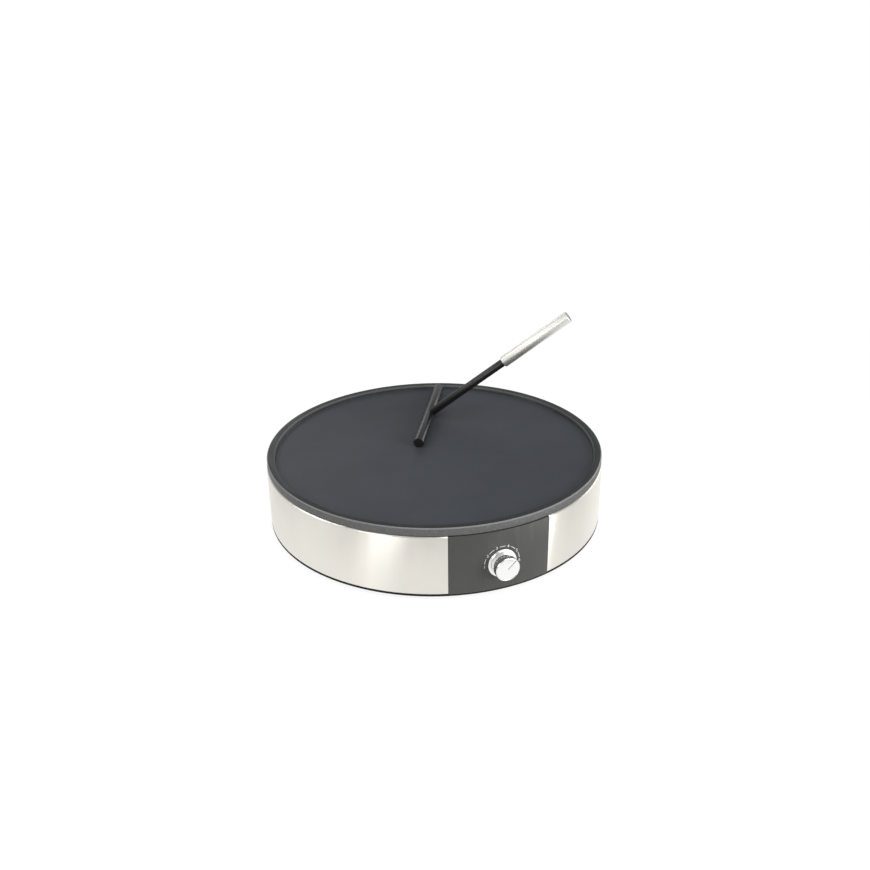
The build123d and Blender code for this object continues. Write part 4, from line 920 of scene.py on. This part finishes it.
class CREPE_OT_electrics(bpy.types.Operator):
    """Finishes the thermostat, the mains terminals and the wiring"""
    bl_idname = "crepe.electrics"
    bl_label = "Thermostat and wiring"

    def execute(self, context):
        nylon = moulded_material("Natural nylon", (0.62, 0.61, 0.56), 0.45)
        finishes = {"thermostat_body": moulded_material("Thermostat plastic", (0.6, 0.54, 0.42), 0.5),
                    "terminal_block": nylon, "cord_clamp": nylon}
        dress(context, finishes)
        glass = sleeving_material("Glass-fibre sleeving", (0.62, 0.6, 0.54), braided=True)
        leads = {
            "live_lead": sleeving_material("Brown sleeving", (0.16, 0.06, 0.025)),
            "neutral_lead": sleeving_material("Blue sleeving", (0.03, 0.09, 0.33)),
            "heater_lead": glass,
            "cutout_lead": glass,
            "earth_lead": sleeving_material(
                "Green and yellow sleeving", (0.07, 0.3, 0.04), second=(0.75, 0.62, 0.05)),
        }
        for name, material in leads.items():
            wear(name, material)
        return {"FINISHED"}


# ---- studio


def glow(tree, strength):
    """Plain white light of that strength."""
    return add(tree, "ShaderNodeEmission", {"Color": (1, 1, 1, 1), "Strength": strength}).outputs[0]


def matt(tree, grey):
    """Plain matt surface of that grey."""
    return add(tree, "ShaderNodeBsdfDiffuse", {"Color": (grey, grey, grey, 1.0)}).outputs[0]


def backdrop(tree, strength):
    """Plain white world of that strength."""
    return add(tree, "ShaderNodeBackground", {"Color": (1, 1, 1, 1), "Strength": strength}).outputs[0]


def blend_shaders(tree, share, first, second):
    return add(tree, "ShaderNodeMixShader", {0: share, 1: first, 2: second}).outputs[0]


def floor_material():
    """White floor that shows as white to the camera and in metal, and keeps the object's shadow."""
    material = bpy.data.materials.new("Studio floor")
    material.use_nodes = True
    tree = material.node_tree
    tree.nodes.clear()
    place = add(tree, "ShaderNodeTexCoord").outputs["Object"]
    away = add(tree, "ShaderNodeVectorMath", {0: place}, operation="LENGTH").outputs["Value"]
    path = add(tree, "ShaderNodeLightPath").outputs
    near = add(tree, "ShaderNodeAddShader", {0: matt(tree, FLOOR_SHADOWED), 1: glow(tree, FLOOR_GLOW)})
    seen = blend_shaders(tree, stretch(tree, away, *FLOOR_FADE), near.outputs[0], glow(tree, 1.0))
    mirrored = glow(tree, stretch(tree, away, *MIRROR_FADE, 1.0, MIRROR_FAR))
    unseen = blend_shaders(tree, path["Is Glossy Ray"], matt(tree, FLOOR_GREY), mirrored)
    shown = blend_shaders(tree, path["Is Camera Ray"], unseen, seen)
    add(tree, "ShaderNodeOutputMaterial", {"Surface": shown})
    return material


def studio_world(sky):
    """Even light all round, brighter in reflections and white to the camera."""
    world = bpy.data.worlds.new("Studio")
    world.use_nodes = True
    tree = world.node_tree
    tree.nodes.clear()
    path = add(tree, "ShaderNodeLightPath").outputs
    seen = maths(tree, "MAXIMUM", path["Is Camera Ray"], path["Is Transmission Ray"])
    unseen = blend_shaders(tree, path["Is Glossy Ray"], backdrop(tree, sky), backdrop(tree, METAL_SKY))
    shown = blend_shaders(tree, seen, unseen, backdrop(tree, 1.0))
    add(tree, "ShaderNodeOutputWorld", {"Surface": shown})
    bpy.context.scene.world = world


def direction_of(azimuth, elevation):
    """Unit vector from the object towards an azimuth (0 is the front) and an elevation."""
    return Vector((sin(azimuth) * cos(elevation), -cos(azimuth) * cos(elevation), sin(elevation)))


def add_softbox(name, power, azimuth, elevation, distance, width, height):
    """Area lamp that faces the object."""
    lamp = bpy.data.lights.new(name, "AREA")
    lamp.shape = "RECTANGLE"
    lamp.size, lamp.size_y = width, height
    lamp.energy = power
    away = direction_of(radians(azimuth), radians(elevation))
    holder = bpy.data.objects.new(name, lamp)
    holder.location = Vector((0, 0, LAMP_AIM_HEIGHT)) + away * distance
    holder.rotation_mode = "QUATERNION"
    holder.rotation_quaternion = away.to_track_quat("Z", "Y")
    holder.visible_camera = False
    bpy.context.scene.collection.objects.link(holder)


def add_floor():
    plate = bmesh.new()
    bmesh.ops.create_circle(plate, cap_ends=True, radius=FLOOR_RADIUS, segments=96)
    mesh = bpy.data.meshes.new("studio_floor")
    plate.to_mesh(mesh)
    plate.free()
    mesh.materials.append(floor_material())
    floor = bpy.data.objects.new("studio_floor", mesh)
    bpy.context.scene.collection.objects.link(floor)


def add_camera(studio):
    away = direction_of(studio.azimuth, studio.elevation)
    view = bpy.data.cameras.new("Camera")
    view.sensor_width = 36.0
    view.lens = studio.lens
    view.shift_x, view.shift_y = LENS_SHIFT
    view.clip_start, view.clip_end = 0.01, 100.0
    holder = bpy.data.objects.new("Camera", view)
    holder.location = Vector((0, 0, studio.aim_height)) + away * studio.distance
    holder.rotation_mode = "QUATERNION"
    holder.rotation_quaternion = away.to_track_quat("Z", "Y") @ Quaternion((0, 0, 1), studio.roll)
    bpy.context.scene.collection.objects.link(holder)
    bpy.context.scene.camera = holder


class CREPE_OT_studio(bpy.types.Operator):
    """Adds the floor, the lamps and the camera"""
    bl_idname = "crepe.studio"
    bl_label = "Studio"

    def execute(self, context):
        studio = context.scene.crepe_studio
        add_floor()
        studio_world(studio.sky)
        for name, place in LAMPS.items():
            add_softbox(f"{name.title()} softbox", getattr(studio, f"{name}_power"), *place)
        add_camera(studio)
        context.scene.view_settings.view_transform = "Standard"
        return {"FINISHED"}


# ---- panel and registration


PIECE_OPERATORS = (
    CREPE_OT_hotplate, CREPE_OT_band, CREPE_OT_housing, CREPE_OT_dial, CREPE_OT_knob, CREPE_OT_spreader,
    CREPE_OT_feet, CREPE_OT_heater, CREPE_OT_fasteners, CREPE_OT_electrics, CREPE_OT_studio,
)


class CREPE_PT_panel(bpy.types.Panel):
    """Lists the crepe maker's settings and steps"""
    bl_idname = "CREPE_PT_panel"
    bl_label = "Crepe Maker"
    bl_space_type = "VIEW_3D"
    bl_region_type = "UI"
    bl_category = "Crepe Maker"

    def draw(self, context):
        layout = self.layout
        for group in (context.scene.crepe_colours, context.scene.crepe_sizes, context.scene.crepe_studio):
            box = layout.box()
            for setting in group.bl_rna.properties:
                if setting.identifier not in {"rna_type", "name"}:
                    box.prop(group, setting.identifier)
        for operator in PIECE_OPERATORS:
            layout.operator(operator.bl_idname)


SETTINGS = {
    "crepe_colours": CrepeMakerColours,
    "crepe_sizes": CrepeMakerSizes,
    "crepe_studio": CrepeMakerStudio,
}


def register():
    for group in SETTINGS.values():
        bpy.utils.register_class(group)
    for operator in PIECE_OPERATORS:
        bpy.utils.register_class(operator)
    bpy.utils.register_class(CREPE_PT_panel)
    for name, group in SETTINGS.items():
        setattr(bpy.types.Scene, name, bpy.props.PointerProperty(type=group))


def unregister():
    for name in SETTINGS:
        delattr(bpy.types.Scene, name)
    bpy.utils.unregister_class(CREPE_PT_panel)
    for operator in reversed(PIECE_OPERATORS):
        bpy.utils.unregister_class(operator)
    for group in reversed(list(SETTINGS.values())):
        bpy.utils.unregister_class(group)


def main():
    register()
    bpy.ops.crepe.hotplate()
    bpy.ops.crepe.band()
    bpy.ops.crepe.housing()
    bpy.ops.crepe.dial()
    bpy.ops.crepe.knob()
    bpy.ops.crepe.spreader()
    bpy.ops.crepe.feet()
    bpy.ops.crepe.heater()
    bpy.ops.crepe.fasteners()
    bpy.ops.crepe.electrics()
    bpy.ops.crepe.studio()


if __name__ == "__main__":
    main()
